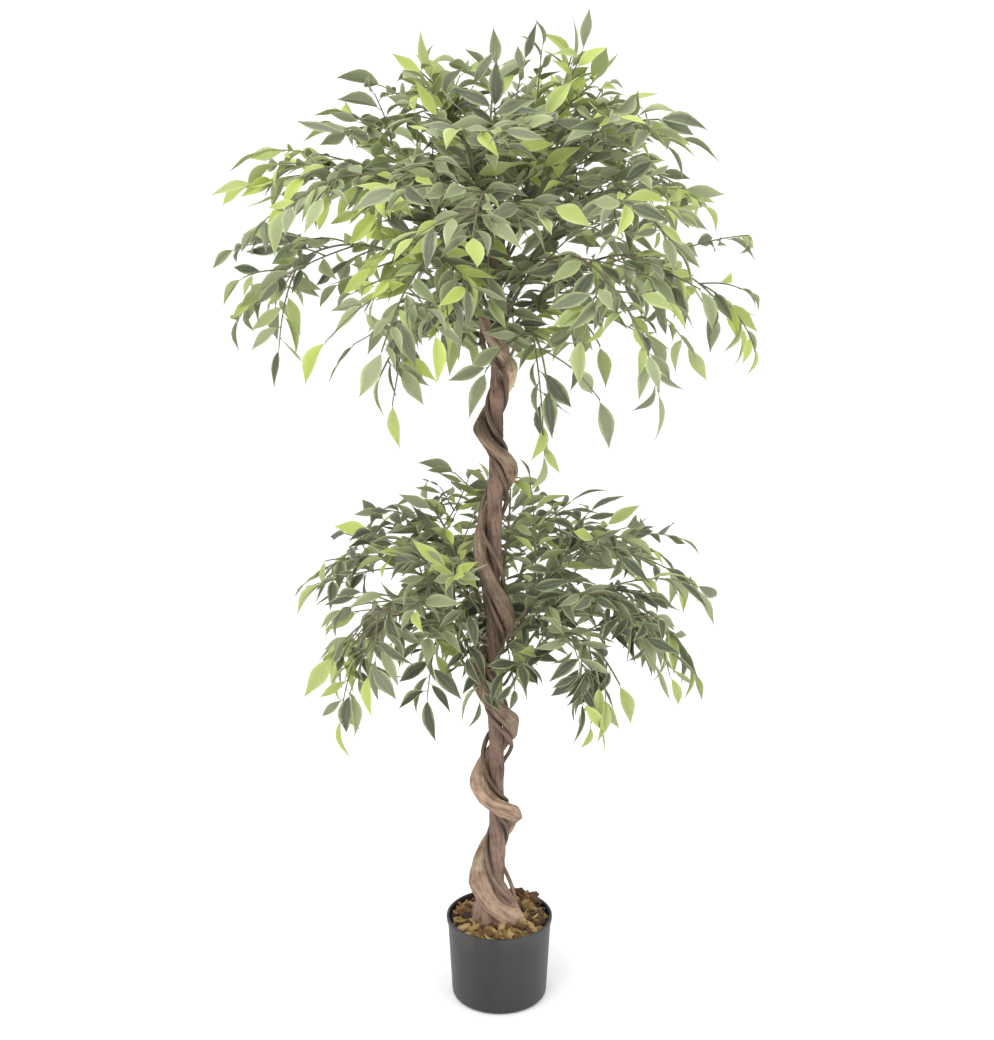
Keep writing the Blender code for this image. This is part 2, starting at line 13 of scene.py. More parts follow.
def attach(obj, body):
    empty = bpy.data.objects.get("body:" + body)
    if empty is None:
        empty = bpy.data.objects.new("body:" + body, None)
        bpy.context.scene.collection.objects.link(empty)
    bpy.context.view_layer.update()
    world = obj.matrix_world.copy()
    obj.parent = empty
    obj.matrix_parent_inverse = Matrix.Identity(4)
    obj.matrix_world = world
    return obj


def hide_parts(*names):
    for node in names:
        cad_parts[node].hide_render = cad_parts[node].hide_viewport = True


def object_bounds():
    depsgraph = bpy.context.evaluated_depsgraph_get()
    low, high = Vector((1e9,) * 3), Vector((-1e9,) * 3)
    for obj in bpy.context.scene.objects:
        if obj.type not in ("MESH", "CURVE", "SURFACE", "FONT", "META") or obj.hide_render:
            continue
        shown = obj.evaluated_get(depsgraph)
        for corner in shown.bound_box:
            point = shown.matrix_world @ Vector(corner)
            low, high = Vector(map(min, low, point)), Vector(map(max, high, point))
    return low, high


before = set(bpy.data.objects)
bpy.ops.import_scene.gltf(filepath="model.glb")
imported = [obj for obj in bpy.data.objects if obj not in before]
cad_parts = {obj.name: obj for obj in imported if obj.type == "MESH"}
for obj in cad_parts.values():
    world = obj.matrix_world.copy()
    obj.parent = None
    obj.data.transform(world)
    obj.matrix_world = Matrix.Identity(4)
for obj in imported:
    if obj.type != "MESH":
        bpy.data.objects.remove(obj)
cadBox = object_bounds()
up = Vector((0.0, 0.0, 1.0))
print("frame loaded:", len(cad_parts), "nodes")


# helpers for modelling by operator

def deselectAll():
    if bpy.context.mode != "OBJECT":
        bpy.ops.object.mode_set(mode="OBJECT")
    bpy.ops.object.select_all(action="DESELECT")


def makeActive(*pieces):
    deselectAll()
    for piece in pieces:
        piece.select_set(True)
    bpy.context.view_layer.objects.active = pieces[0]
    return pieces[0]


def startEdit(piece):
    makeActive(piece)
    bpy.ops.object.mode_set(mode="EDIT")
    bpy.ops.mesh.select_mode(type="VERT")
    bpy.ops.mesh.select_all(action="DESELECT")


def endEdit():
    bpy.ops.object.mode_set(mode="OBJECT")


def pickAll():
    bpy.ops.mesh.select_all(action="SELECT")


def editShape():
    return bmesh.from_edit_mesh(bpy.context.edit_object.data)


def pick(parts, test, spread=True):
    # in edit mode, leaves selected only the vertices, edges or faces that pass the test
    shape = editShape()
    for part in getattr(shape, parts):
        part.select = test(part)
    shape.select_flush(spread)
    bmesh.update_edit_mesh(bpy.context.edit_object.data)


def pickVerts(test):
    pick("verts", lambda vert: test(vert.co))


def pickFaces(test):
    editShape().normal_update()
    pick("faces", lambda face: test(face.calc_center_median(), face.normal))


def roundEdges(test, width, segments):
    # in edit mode, bevels the sharp edges whose two ends both pass the test
    def sharp(edge):
        ends = all(test(vert.co) for vert in edge.verts)
        return ends and len(edge.link_faces) == 2 and edge.calc_face_angle(0.0) > math.radians(20.0)

    bpy.ops.mesh.select_mode(type="EDGE")
    pick("edges", sharp, False)
    bpy.ops.mesh.bevel(offset=width, segments=segments, profile=0.5, affect="EDGES")
    bpy.ops.mesh.select_mode(type="VERT")


def widen(share, height):
    # in edit mode, scales what is picked about the upright axis
    bpy.ops.transform.resize(value=(share, share, 1.0), center_override=(0.0, 0.0, height))


def extrudeUp(rise):
    bpy.ops.mesh.extrude_region_move(TRANSFORM_OT_translate={"value": (0.0, 0.0, rise)})


def applyAll(piece):
    makeActive(piece)
    for modifier in list(piece.modifiers):
        bpy.ops.object.modifier_apply(modifier=modifier.name)


def settle(piece):
    # puts the place, turn and size of a piece into its mesh
    makeActive(piece)
    bpy.ops.object.transform_apply(location=True, rotation=True, scale=True)


def joined(name, pieces):
    whole = makeActive(*pieces)
    bpy.ops.object.join()
    whole.name = name
    whole.data.name = name
    return whole


def smoothed(piece, degrees):
    makeActive(piece)
    bpy.ops.object.shade_smooth_by_angle(angle=math.radians(degrees))


def removeAll(pieces):
    for piece in pieces:
        bpy.data.objects.remove(piece, do_unlink=True)


def dress(piece, *looks):
    piece.data.materials.clear()
    for look in looks:
        piece.data.materials.append(materials[look])


def standsFor(piece, node):
    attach(piece, "root")
    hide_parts(node)


def stamped(pattern, matrix, shade):
    # a copy of a pattern with its own mesh, put in its place, with a shade that its material reads
    stamp = pattern.copy()
    stamp.data = pattern.data.copy()
    bpy.context.scene.collection.objects.link(stamp)
    stamp.data.transform(matrix)
    tint = stamp.data.attributes.new("tint", "FLOAT", "FACE")
    tint.data.foreach_set("value", [shade] * len(stamp.data.polygons))
    return stamp


def blend(first, second, share):
    return first + (second - first) * share


def levelHeading(degrees):
    # the level direction at a bearing: 0 is +X and 90 is +Y
    turn = math.radians(degrees)
    return Vector((math.cos(turn), math.sin(turn), 0.0))


# shader maths

def feed(tree, node, inputs):
    # sets a node's sockets: a signal is linked, and anything else is a plain value
    for name, value in inputs.items():
        if isinstance(value, Signal):
            tree.links.new(value.output, node.inputs[name])
        else:
            node.inputs[name].default_value = value


class Signal:
    # wraps a node's output, so that sums on values are written as plain Python
    def __init__(self, tree, output=None):
        self.tree = tree
        self.output = output

    def node(self, kind, settings, inputs, output=0):
        # adds any node: its type, its settings, then the values or links of its sockets
        made = self.tree.nodes.new("ShaderNode" + kind)
        for name, value in settings.items():
            if name == "stops":
                stops = made.color_ramp.elements
                while len(stops) < len(value):
                    stops.new(1.0)
                for stop, (place, colour) in zip(stops, value):
                    stop.position = place
                    stop.color = (*colour, 1.0)
            else:
                setattr(made, name, value)
        feed(self.tree, made, inputs)
        return Signal(self.tree, made.outputs[output])

    def maths(self, operation, *values):
        return self.node("Math", {"operation": operation}, dict(enumerate(values)))

    def __add__(self, other):
        return self.maths("ADD", self, other)

    def __radd__(self, other):
        return self.maths("ADD", other, self)

    def __sub__(self, other):
        return self.maths("SUBTRACT", self, other)

    def __rsub__(self, other):
        return self.maths("SUBTRACT", other, self)

    def __mul__(self, other):
        return self.maths("MULTIPLY", self, other)

    def __rmul__(self, other):
        return self.maths("MULTIPLY", other, self)

    def __truediv__(self, other):
        return self.maths("DIVIDE", self, other)

    def __abs__(self):
        return self.maths("ABSOLUTE", self)

    def band(self, low, high):
        # 0 below low, 1 above high, smooth between
        return self.node("MapRange", {"interpolation_type": "SMOOTHSTEP"},
                         {"Value": self, "From Min": low, "From Max": high})

    def mix(self, share, first, second, way="MIX"):
        # a colour between two; each is a signal, or red, green and blue
        colours = [part if isinstance(part, Signal) else (*part, 1.0) for part in (first, second)]
        settings = {"data_type": "RGBA", "blend_type": way, "clamp_factor": True}
        return self.node("Mix", settings, {0: share, 6: colours[0], 7: colours[1]}, 2)

    def ramp(self, stops):
        return self.node("ValToRGB", {"stops": stops}, {0: self})

    def noise(self, where, scale, detail=3.0, roughness=0.55):
        sockets = {"Vector": where, "Scale": scale, "Detail": detail, "Roughness": roughness}
        return self.node("TexNoise", {}, sockets)

    def parts(self, where):
        return [self.node("SeparateXYZ", {}, {0: where}, axis) for axis in range(3)]

    def place(self):
        return self.node("TexCoord", {}, {}, "Object")

    def mapOf(self, name):
        return self.node("UVMap", {"uv_map": name}, {})

    def attribute(self, name):
        return self.node("Attribute", {"attribute_name": name}, {}, "Fac")

    def stretched(self, where, scale):
        return self.node("Mapping", {}, {"Vector": where, "Scale": scale})

    def bump(self, height, strength, distance):
        return self.node("Bump", {}, {"Height": height, "Strength": strength, "Distance": distance})


def newMaterial(name):
    made = bpy.data.materials.new(name)
    made.use_nodes = True
    return made, Signal(made.node_tree)


def finished(made, colour, roughness, relief=None, gloss=0.5, glow=0.0):
    inputs = {"Base Color": colour, "Roughness": roughness, "Specular IOR Level": gloss,
              "Emission Color": (1.0, 1.0, 1.0, 1.0), "Emission Strength": glow}
    if relief:
        inputs["Normal"] = relief
    feed(made.node_tree, made.node_tree.nodes["Principled BSDF"], inputs)
    return made


# materials

leafColours = {
    "deep": (0.07, 0.081, 0.051),
    "dark": (0.176, 0.196, 0.12),
    "middle": (0.3, 0.338, 0.18),
    "fresh": (0.362, 0.432, 0.135),
    "young": (0.42, 0.505, 0.108),
    "vein": (0.42, 0.47, 0.24),
    "margin": (0.56, 0.625, 0.3),
    "under": (0.33, 0.365, 0.215),
}

# the places of a ramp's stops and their colours
ramps = {
    "leaf": ((0.0, leafColours["deep"]), (0.28, leafColours["dark"]), (0.62, leafColours["middle"]),
             (0.84, leafColours["fresh"]), (1.0, leafColours["young"])),
    "twig": ((0.25, (0.105, 0.092, 0.052)), (0.75, (0.235, 0.205, 0.118))),
    "stalk": ((0.3, (0.15, 0.2, 0.06)), (0.7, (0.26, 0.32, 0.1))),
    "chips": ((0.0, (0.03, 0.015, 0.006)), (0.25, (0.105, 0.052, 0.017)), (0.48, (0.19, 0.105, 0.032)),
              (0.68, (0.285, 0.18, 0.058)), (0.88, (0.44, 0.315, 0.135)), (1.0, (0.25, 0.19, 0.058))),
    "soil": ((0.3, (0.014, 0.009, 0.006)), (0.7, (0.075, 0.046, 0.026))),
    "pot": ((0.3, (0.017, 0.016, 0.018)), (0.7, (0.029, 0.028, 0.029))),
}
potScuff = (0.1, 0.095, 0.09)
potDust = (0.13, 0.115, 0.1)

# tones: how light the bark is, by height up the trunk; partly the bark's own lighter and darker bands, partly
# painted shade where the foliage shades the trunk and a painted highlight just under the crown
barkTones = {
    "mainBark": {
        "light": (0.29, 0.192, 0.145), "middle": (0.17, 0.107, 0.078), "dark": (0.062, 0.038, 0.027),
        "pinkish": (0.38, 0.245, 0.18),
        "tonesAndShade": ((0.12, 0.95), (0.25, 0.86), (0.38, 0.8), (0.44, 0.66), (0.5, 0.74), (0.8, 0.82),
                  (0.895, 0.9), (0.915, 0.42), (0.94, 0.42), (0.965, 1.1), (1.04, 0.95)),
    },
    "lianaBark": {
        "light": (0.51, 0.375, 0.265), "middle": (0.3, 0.198, 0.13), "dark": (0.098, 0.058, 0.036),
        "pinkish": (0.53, 0.345, 0.24),
        "tonesAndShade": ((0.135, 1.0), (0.17, 0.74), (0.22, 0.74), (0.26, 0.92), (0.3, 0.76), (0.37, 1.1),
                  (0.43, 0.54), (0.49, 0.5), (0.56, 0.76), (0.68, 0.56), (0.78, 0.72), (0.82, 0.9),
                  (0.87, 0.72), (0.905, 0.62), (0.918, 0.3), (0.94, 0.3), (0.96, 1.2), (0.985, 1.5),
                  (1.02, 1.1), (1.06, 0.8)),
    },
    "vineBark": {
        "light": (0.26, 0.185, 0.132), "middle": (0.15, 0.102, 0.072), "dark": (0.055, 0.036, 0.026),
        "pinkish": (0.29, 0.205, 0.152), "tonesAndShade": ((0.12, 0.9), (0.5, 0.8), (0.9, 1.0)),
    },
}
toneHeight = 1.2  # the height that stands for 1 on the ramp of tones


def leafMaterial(name, underside):
    made, signal = newMaterial(name)
    place = signal.place()
    across, along, _ = signal.parts(signal.mapOf("leafMap"))
    mottle = signal.noise(place, 38.0, 4.0)
    fine = signal.noise(place, 620.0, 2.0)
    aside = abs(across - 0.5) * 2.0
    midrib = 1.0 - aside.band(0.015, 0.075)
    ribs = signal.maths("FRACT", along * 8.0 - aside * 1.6)
    ribLine = (1.0 - abs(ribs - 0.5).band(0.0, 0.16)) * aside.band(0.02, 0.2) * (1.0 - aside.band(0.7, 1.0))
    colour = (signal.attribute("tint") + (mottle - 0.5) * 0.22).ramp(ramps["leaf"])
    colour = signal.mix(midrib * 0.26 + ribLine * 0.05, colour, leafColours["vein"])
    # the margin is pale, and the pale comes further in on some leaves than on others
    pale = (aside + (signal.noise(place, 30.0, 3.0) - 0.5) * 0.8).band(0.45, 1.15)
    colour = signal.mix(pale * 0.55, colour, leafColours["margin"])
    if underside:
        colour = signal.mix(0.42, colour, leafColours["under"])
    roughness = 0.6 + mottle * 0.15 if underside else 0.42 + mottle * 0.2
    relief = signal.bump(fine * 0.2 + ribLine * 0.4 + midrib, 0.3, 0.0006)
    return finished(made, colour, roughness, relief, 0.35)


def twigMaterial():
    made, signal = newMaterial("twigBark")
    streak = signal.noise(signal.stretched(signal.place(), (1.0, 1.0, 0.35)), 180.0, 3.0)
    relief = signal.bump(streak, 0.5, 0.0008)
    return finished(made, streak.ramp(ramps["twig"]), 0.55 + streak * 0.3, relief)


def stalkMaterial():
    made, signal = newMaterial("leafStalk")
    grain = signal.noise(signal.place(), 300.0, 2.0)
    return finished(made, grain.ramp(ramps["stalk"]), 0.45 + grain * 0.2)


def barkMaterial(name, light, middle, dark, pinkish, tonesAndShade):
    # streaks run along the stem: noise on a rolled-up map, so that no seam shows
    made, signal = newMaterial(name)
    along, around, _ = signal.parts(signal.mapOf("barkMap"))
    turn = around * (2.0 * math.pi)
    circle = {0: signal.maths("COSINE", turn), 1: signal.maths("SINE", turn), 2: along}
    rolled = signal.node("CombineXYZ", {}, circle)
    place = signal.place()
    _, _, height = signal.parts(place)
    streak = signal.noise(signal.stretched(rolled, (1.5, 1.5, 14.0)), 2.2, 5.0, 0.62)
    fibre = signal.noise(signal.stretched(rolled, (5.0, 5.0, 22.0)), 3.0, 4.0, 0.6)
    patch = signal.noise(place, 34.0, 3.0)
    blush = signal.noise(place, 19.0, 2.0)
    flecks = signal.noise(place, 260.0, 3.0)
    worn = [part * 1.35 for part in light]
    colour = (streak * 0.35 + fibre * 0.25 + patch * 0.4).ramp(
        ((0.36, dark), (0.44, middle), (0.53, light), (0.63, worn)))
    foot = 1.0 - height.band(0.15, 0.24)
    colour = signal.mix(blush.band(0.48, 0.66) * 0.6 + foot * 0.5, colour, pinkish)
    # painted light: the tones by height darken the bark where the foliage shades the trunk and lighten it
    # just under the crown as a painted highlight, over its own lighter and darker bands
    toneAndShade = (height / toneHeight).ramp([(level / toneHeight, [share] * 3) for level, share in tonesAndShade])
    colour = signal.mix(1.0, colour, toneAndShade, "MULTIPLY")
    # painted shade: the bark is darkened at the bottom of its cracks and where one stem presses against
    # another
    colour = signal.mix(signal.attribute("groove") * 0.8, colour, [part * 0.5 for part in dark])
    colour = signal.mix(flecks.band(0.58, 0.78) * 0.3, colour, [part * 0.6 for part in middle])
    relief = signal.bump(streak * 0.5 + fibre * 0.5 + flecks * 0.25, 0.7, 0.0022)
    return finished(made, colour, 0.62 + fibre * 0.3, relief, 0.35)


def chipMaterial():
    made, signal = newMaterial("mulchChips")
    place = signal.place()
    grain = signal.noise(signal.stretched(place, (1.0, 2.2, 3.0)), 150.0, 4.0)
    blotch = signal.noise(place, 45.0, 2.0)
    shade = signal.attribute("tint") + (blotch - 0.5) * 0.34 + (grain - 0.5) * 0.4
    relief = signal.bump(grain, 0.8, 0.0018)
    return finished(made, shade.ramp(ramps["chips"]), 0.7 + grain * 0.25, relief)


def soilMaterial():
    made, signal = newMaterial("pottingSoil")
    lumps = signal.noise(signal.place(), 90.0, 5.0)
    relief = signal.bump(lumps, 1.0, 0.004)
    return finished(made, lumps.ramp(ramps["soil"]), 0.85 + lumps * 0.1, relief)


def potMaterial():
    made, signal = newMaterial("potPlastic")
    place = signal.place()
    _, _, height = signal.parts(place)
    grain = signal.noise(place, 900.0, 2.0)
    cloud = signal.noise(signal.stretched(place, (1.0, 1.0, 0.35)), 16.0, 3.0)
    scuffs = signal.noise(signal.stretched(place, (1.0, 1.0, 5.0)), 55.0, 5.0).band(0.6, 0.75)
    low = 1.0 - height.band(0.004, 0.03)
    colour = signal.mix(low * scuffs * 0.4, cloud.ramp(ramps["pot"]), potScuff)
    colour = signal.mix(height.band(0.1, 0.136) * cloud.band(0.45, 0.7) * 0.2, colour, potDust)
    relief = signal.bump(grain + scuffs * 0.4, 0.18, 0.0006)
    return finished(made, colour, 0.4 + cloud * 0.16, relief)


materials = {
    "leafTop": leafMaterial("leafTop", False),
    "leafUnder": leafMaterial("leafUnder", True),
    "twig": twigMaterial(),
    "stalk": stalkMaterial(),
    "chips": chipMaterial(),
    "soil": soilMaterial(),
    "pot": potMaterial(),
}
for name, look in barkTones.items():
    materials[name] = barkMaterial(name, **look)
print("materials made:", len(materials))


# pot

potShape = {
    "height": 0.136, "topRadius": 0.0815, "baseRadius": 0.0745, "wall": 0.0022, "floor": 0.003, "sides": 96,
    "footRound": 0.008, "rimOut": 0.0018, "rimDepth": 0.0075, "underRim": 0.0012, "rimRound": 0.0008,
    "underRimRound": 0.0007, "footRing": 0.0016, "footRingWidth": 0.013, "recessTaper": 0.97,
}


def potRadius(height):
    return blend(potShape["baseRadius"], potShape["topRadius"], height / potShape["height"])


def ringAt(height):
    return lambda place: abs(place.z - height) < 0.0002


def makePot():
    shape = potShape
    top = shape["height"]
    floor = shape["floor"]
    deselectAll()
    bpy.ops.mesh.primitive_cylinder_add(vertices=shape["sides"], radius=shape["baseRadius"], depth=top,
                                        location=(0.0, 0.0, top / 2.0))
    pot = bpy.context.active_object
    settle(pot)
    startEdit(pot)
    pickVerts(ringAt(top))
    widen(shape["topRadius"] / shape["baseRadius"], top)
    # the rim stands a little proud of the wall below it
    underRim = top - shape["rimDepth"]
    for height in (underRim, underRim - shape["underRim"]):
        pickAll()
        bpy.ops.mesh.bisect(plane_co=(0.0, 0.0, height), plane_no=(0.0, 0.0, 1.0))
    for height in (underRim, top):
        pickVerts(ringAt(height))
        widen((potRadius(height) + shape["rimOut"]) / potRadius(height), height)
    # the wall's thickness, then the inside down to the floor
    pickFaces(lambda middle, normal: normal.z > 0.9)
    bpy.ops.mesh.inset(thickness=shape["wall"] + shape["rimOut"], depth=0.0)
    extrudeUp(floor - top)
    widen((potRadius(floor) - shape["wall"]) / (shape["topRadius"] - shape["wall"]), floor)
    # a recess under the pot leaves a narrow foot ring
    pickFaces(lambda middle, normal: normal.z < -0.9 and middle.z < 0.001)
    bpy.ops.mesh.inset(thickness=shape["footRingWidth"], depth=0.0)
    extrudeUp(shape["footRing"])
    widen(shape["recessTaper"], 0.0)
    # rounded foot and softened rim edges
    roundEdges(lambda place: place.z < 0.0002 and place.xy.length > shape["baseRadius"] - 0.001,
               shape["footRound"], 6)
    roundEdges(ringAt(top), shape["rimRound"], 3)
    roundEdges(ringAt(underRim), shape["underRimRound"], 2)
    endEdit()
    dress(pot, "pot")
    smoothed(pot, 40.0)
    pot.name = "plasticPot"
    standsFor(pot, "pot")
    return pot


pot = makePot()
print("pot made:", len(pot.data.polygons), "faces")
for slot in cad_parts["soil"].material_slots:
    slot.material = materials["soil"]


# trunk, on the same routes as in the CAD model

trunkShape = {
    "x": -0.0065, "wobble": 0.0028, "wander": (9.0, 7.0, 1.2), "fitGap": 0.0004, "tipTaper": 0.6,
    "mainFoot": 0.02, "mainTop": 1.2, "mainRadii": (0.0128, 0.0092), "mainSteps": 120,
    "lianaFoot": 0.03, "lianaRadii": (0.0136, 0.0082),
    "lianaSides": (0.125, 0.209, 0.308, 0.362, 0.457, 0.543, 0.63, 0.75, 0.86, 0.923, 1.0, 1.085),
    "vineFoot": 0.085, "vineRadius": 0.0034,
    "vineLoop": 0.009, "vineLoopTurn": (1.9, 0.6), "vineLoopFrom": 0.05,
    "vines": {"vine_back": (72.0, 1.02), "vine_front": (-62.0, 1.07)},
    # surface roots, by bearing, and how large each is
    "rootBearings": {
        152.0: 1.0, 200.0: 1.0, 236.0: 0.95, 270.0: 0.9, 312.0: 0.95, 346.0: 1.1, 40.0: 1.0, 100.0: 0.75,
    },
    # height, distance out from the trunk and radius, from the trunk to the tip
    "rootPath": (
        (0.196, 0.001, 0.01), (0.168, 0.013, 0.0108), (0.142, 0.028, 0.0098), (0.114, 0.04, 0.0055),
    ),
    "rootSwing": 260.0,
    # a thin root that stands off the trunk's right side
    "airRoot": ((0.004, 0.002, 0.222), (0.014, 0.003, 0.2), (0.023, 0.006, 0.172), (0.029, 0.01, 0.12)),
    "airRootRadius": 0.0033,
    "stepLength": 0.0034, "stepsPerHalfTurn": 24, "flare": (0.12, 0.03, 0.45),
    # grooves: how narrow a crack is, how far a crease spreads, and how much painted shade each puts at its
    # bottom
    "capShare": 0.3, "crackNarrow": 7.0, "creaseReach": 0.007, "grooveShadeStrengths": (0.9, 0.8, 0.75),
}


def trunkCentre(height):
    shape = trunkShape
    rise = max(height - shape["lianaSides"][0], 0.0)
    sidePace, depthPace, start = shape["wander"]
    aside = math.sin(rise * sidePace)
    depth = math.sin(rise * depthPace + start) - math.sin(start)
    return Vector((shape["x"] + shape["wobble"] * aside, shape["wobble"] * depth, height))


def winding(step):
    # height at which the liana has wound step half-turns up the trunk
    sides = trunkShape["lianaSides"]
    last = len(sides) - 1
    low = min(int(step), last - 1)
    share = step - low
    slopeStart = (sides[low + 1] - sides[max(low - 1, 0)]) / 2.0
    slopeEnd = (sides[min(low + 2, last)] - sides[low]) / 2.0
    cube = share**3
    square = share**2
    height = (2 * cube - 3 * square + 1) * sides[low] + (3 * square - 2 * cube) * sides[low + 1]
    return height + (cube - 2 * square + share) * slopeStart + (cube - square) * slopeEnd


def mainRadius(height):
    shape = trunkShape
    return blend(*shape["mainRadii"], (height - shape["mainFoot"]) / (shape["mainTop"] - shape["mainFoot"]))


def lianaRadius(height):
    sides = trunkShape["lianaSides"]
    share = (height - sides[0]) / (sides[-1] - sides[0])
    return blend(*trunkShape["lianaRadii"], min(max(share, 0.0), 1.0))


def vineLoop(step, height):
    pace, start = trunkShape["vineLoopTurn"]
    swing = max(math.sin(step * pace + start), 0.0)
    rise = (height - trunkShape["lianaSides"][0]) / trunkShape["vineLoopFrom"]
    return trunkShape["vineLoop"] * swing**2 * min(rise, 1.0)


def woundRoute(foot, top, ahead, radiusAt, loopAt):
    steps = trunkShape["stepsPerHalfTurn"]
    route = []
    for count in range((len(trunkShape["lianaSides"]) - 1) * steps + 1):
        step = count / steps
        height = winding(step)
        if height > top:
            break
        radius = radiusAt(height)
        out = mainRadius(height) + radius + trunkShape["fitGap"] + loopAt(step, height)
        route.append((trunkCentre(height) + levelHeading(ahead - 180.0 * step) * out, radius))
    first = route[0][0]
    below = [blend(foot, first.z, i / 10.0) for i in range(10)]
    return [(Vector((first.x, first.y, height)), route[0][1]) for height in below] + route


# tubes and bark

def treeOf(node):
    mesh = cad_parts[node].data
    faces = [face.vertices for face in mesh.polygons]
    return BVHTree.FromPolygons([vert.co for vert in mesh.vertices], faces)


trunkTrees = {node: treeOf(node) for node in ("stem_main", "stem_liana", "vine_back", "vine_front")}


def tubeFrom(name, routes, sides):
    # one mesh of closed tubes, each along its own route of (place, radius)
    data = bpy.data.curves.new(name, "CURVE")
    data.dimensions = "3D"
    data.bevel_depth = 1.0
    data.bevel_resolution = max(sides // 2 - 2, 0)
    data.use_fill_caps = True
    for route in routes:
        spline = data.splines.new("POLY")
        spline.points.add(len(route) - 1)
        for point, (place, radius) in zip(spline.points, route):
            point.co = (*place, 1.0)
            point.radius = radius
    tube = bpy.data.objects.new(name, data)
    bpy.context.scene.collection.objects.link(tube)
    makeActive(tube)
    bpy.ops.object.convert(target="MESH")
    tube = bpy.context.view_layer.objects.active
    startEdit(tube)
    pickAll()
    bpy.ops.mesh.remove_doubles(threshold=0.00001)
    endEdit()
    return tube


def evenly(route, step):
    # the same route with its points an even step apart
    walked = [0.0]
    for (start, _), (end, _) in zip(route, route[1:]):
        walked.append(walked[-1] + (end - start).length)
    count = max(int(walked[-1] / step), 2)
    even = []
    leg = 0
    for i in range(count + 1):
        goal = walked[-1] * i / count
        while leg < len(route) - 2 and walked[leg + 1] < goal:
            leg += 1
        share = (goal - walked[leg]) / max(walked[leg + 1] - walked[leg], 1e-9)
        (start, first), (end, second) = route[leg], route[leg + 1]
        even.append((start.lerp(end, min(share, 1.0)), blend(first, second, min(share, 1.0))))
    return even


def barked(tube, route, look, neighbours):
    # pushes a stem's skin in and out: long ridges and grooves, knots and fibres that follow the stem, and
    # notes painted shade for its cracks and creases
    reach = len(route) - 1
    ofCracks, ofGrain, ofCreases = trunkShape["grooveShadeStrengths"]
    mesh = tube.data
    barkMap = mesh.uv_layers[0]
    barkMap.name = "barkMap"
    mapAt = {loop.vertex_index: tuple(barkMap.data[loop.index].uv) for loop in mesh.loops}
    # painted shade for the bark's material: darkest at the bottom of cracks and where this stem lies against
    # another
    groove = mesh.attributes.new("groove", "FLOAT", "POINT")
    for vert in mesh.vertices:
        share, around = mapAt[vert.index]
        middle, radius = route[min(round(share * reach), reach)]
        away = vert.co - middle
        if away.length < radius * trunkShape["capShare"]:
            # the middle of a closed end stays as it is
            continue
        turn = 2.0 * math.pi * around
        length = share * reach * trunkShape["stepLength"]
        grain = {}
        for kind, (winds, across, lengthwise, shift) in barkGrain.items():
            twist = turn + length * look["twist"] if winds else turn
            ring = Vector((math.cos(twist), math.sin(twist), 0.0))
            grain[kind] = noise.noise(ring * across + up * length * lengthwise + look["shift"] * shift)
        crack = 1.0 - min(abs(grain["cracks"]) * trunkShape["crackNarrow"], 1.0)
        push = (grain["knots"] * look["knots"] + grain["ridges"] * look["ridges"]
                + grain["fibres"] * look["fibres"] - crack * look["cracks"])
        lump = sum(rise * math.exp(-((vert.co - Vector(spot)).length / width) ** 2)
                   for spot, width, rise in look["lumps"])
        vert.co = middle + away * (1.0 + push) + away.normalized() * lump
        crease = min((tree.find_nearest(vert.co)[3] for tree in neighbours), default=1.0)
        crease = max(1.0 - crease / trunkShape["creaseReach"], 0.0)
        depth = max(crack * ofCracks - max(grain["fibres"], 0.0), 0.0) * ofGrain + crease * ofCreases
        groove.data[vert.index].value = min(depth, 1.0)
    mesh.update()


# whether each grain winds round with the strands, its fineness across and along, and its share of the shift
barkGrain = {
    "knots": (False, 0.6, 22.0, 1.0), "ridges": (True, 1.6, 7.0, -1.0), "cracks": (True, 2.1, 8.0, 1.7),
    "fibres": (False, 4.0, 30.0, 2.0),
}

thinVine = {
    "sides": 12, "material": "vineBark", "knots": 0.3, "ridges": 0.16, "fibres": 0.06, "cracks": 0.0,
    "twist": 0.0, "lumps": (),
}

# lumps: where they swell the stem, how wide they are and how far they stand out
barkLooks = {
    "stem_main": {
        "name": "mainStem", "sides": 32, "material": "mainBark", "knots": 0.16, "ridges": 0.2, "fibres": 0.05,
        "cracks": 0.1, "twist": 22.0, "shift": Vector((3.1, 0.7, 5.3)),
        "lumps": (((-0.02, -0.006, 0.152), 0.022, 0.006), ((0.004, -0.016, 0.142), 0.018, 0.004),
                  ((-0.02, 0.0, 0.665), 0.014, 0.003), ((0.006, -0.004, 0.835), 0.012, 0.003)),
    },
    "stem_liana": {
        "name": "thickLiana", "sides": 32, "material": "lianaBark", "knots": 0.26, "ridges": 0.24,
        "fibres": 0.06, "cracks": 0.12, "twist": 14.0, "shift": Vector((8.4, 2.9, 1.7)),
        "lumps": (((-0.036, -0.006, 0.205), 0.02, 0.0045), ((0.034, -0.006, 0.303), 0.011, 0.0055),
                  ((-0.034, -0.01, 0.366), 0.024, 0.005), ((0.032, -0.006, 0.478), 0.014, 0.004),
                  ((0.033, -0.004, 0.436), 0.01, 0.006), ((-0.034, -0.004, 0.548), 0.016, 0.004),
                  ((0.02, -0.02, 0.14), 0.02, 0.005), ((-0.03, 0.0, 0.92), 0.012, 0.005),
                  ((0.03, -0.012, 0.134), 0.02, 0.006), ((-0.034, -0.012, 0.19), 0.016, 0.004),
                  ((0.022, -0.002, 0.862), 0.018, 0.004)),
    },
    "vine_back": {**thinVine, "name": "thinVineBack", "shift": Vector((1.9, 6.2, 4.4))},
    "vine_front": {**thinVine, "name": "thinVineFront", "shift": Vector((5.5, 4.1, 9.2))},
}


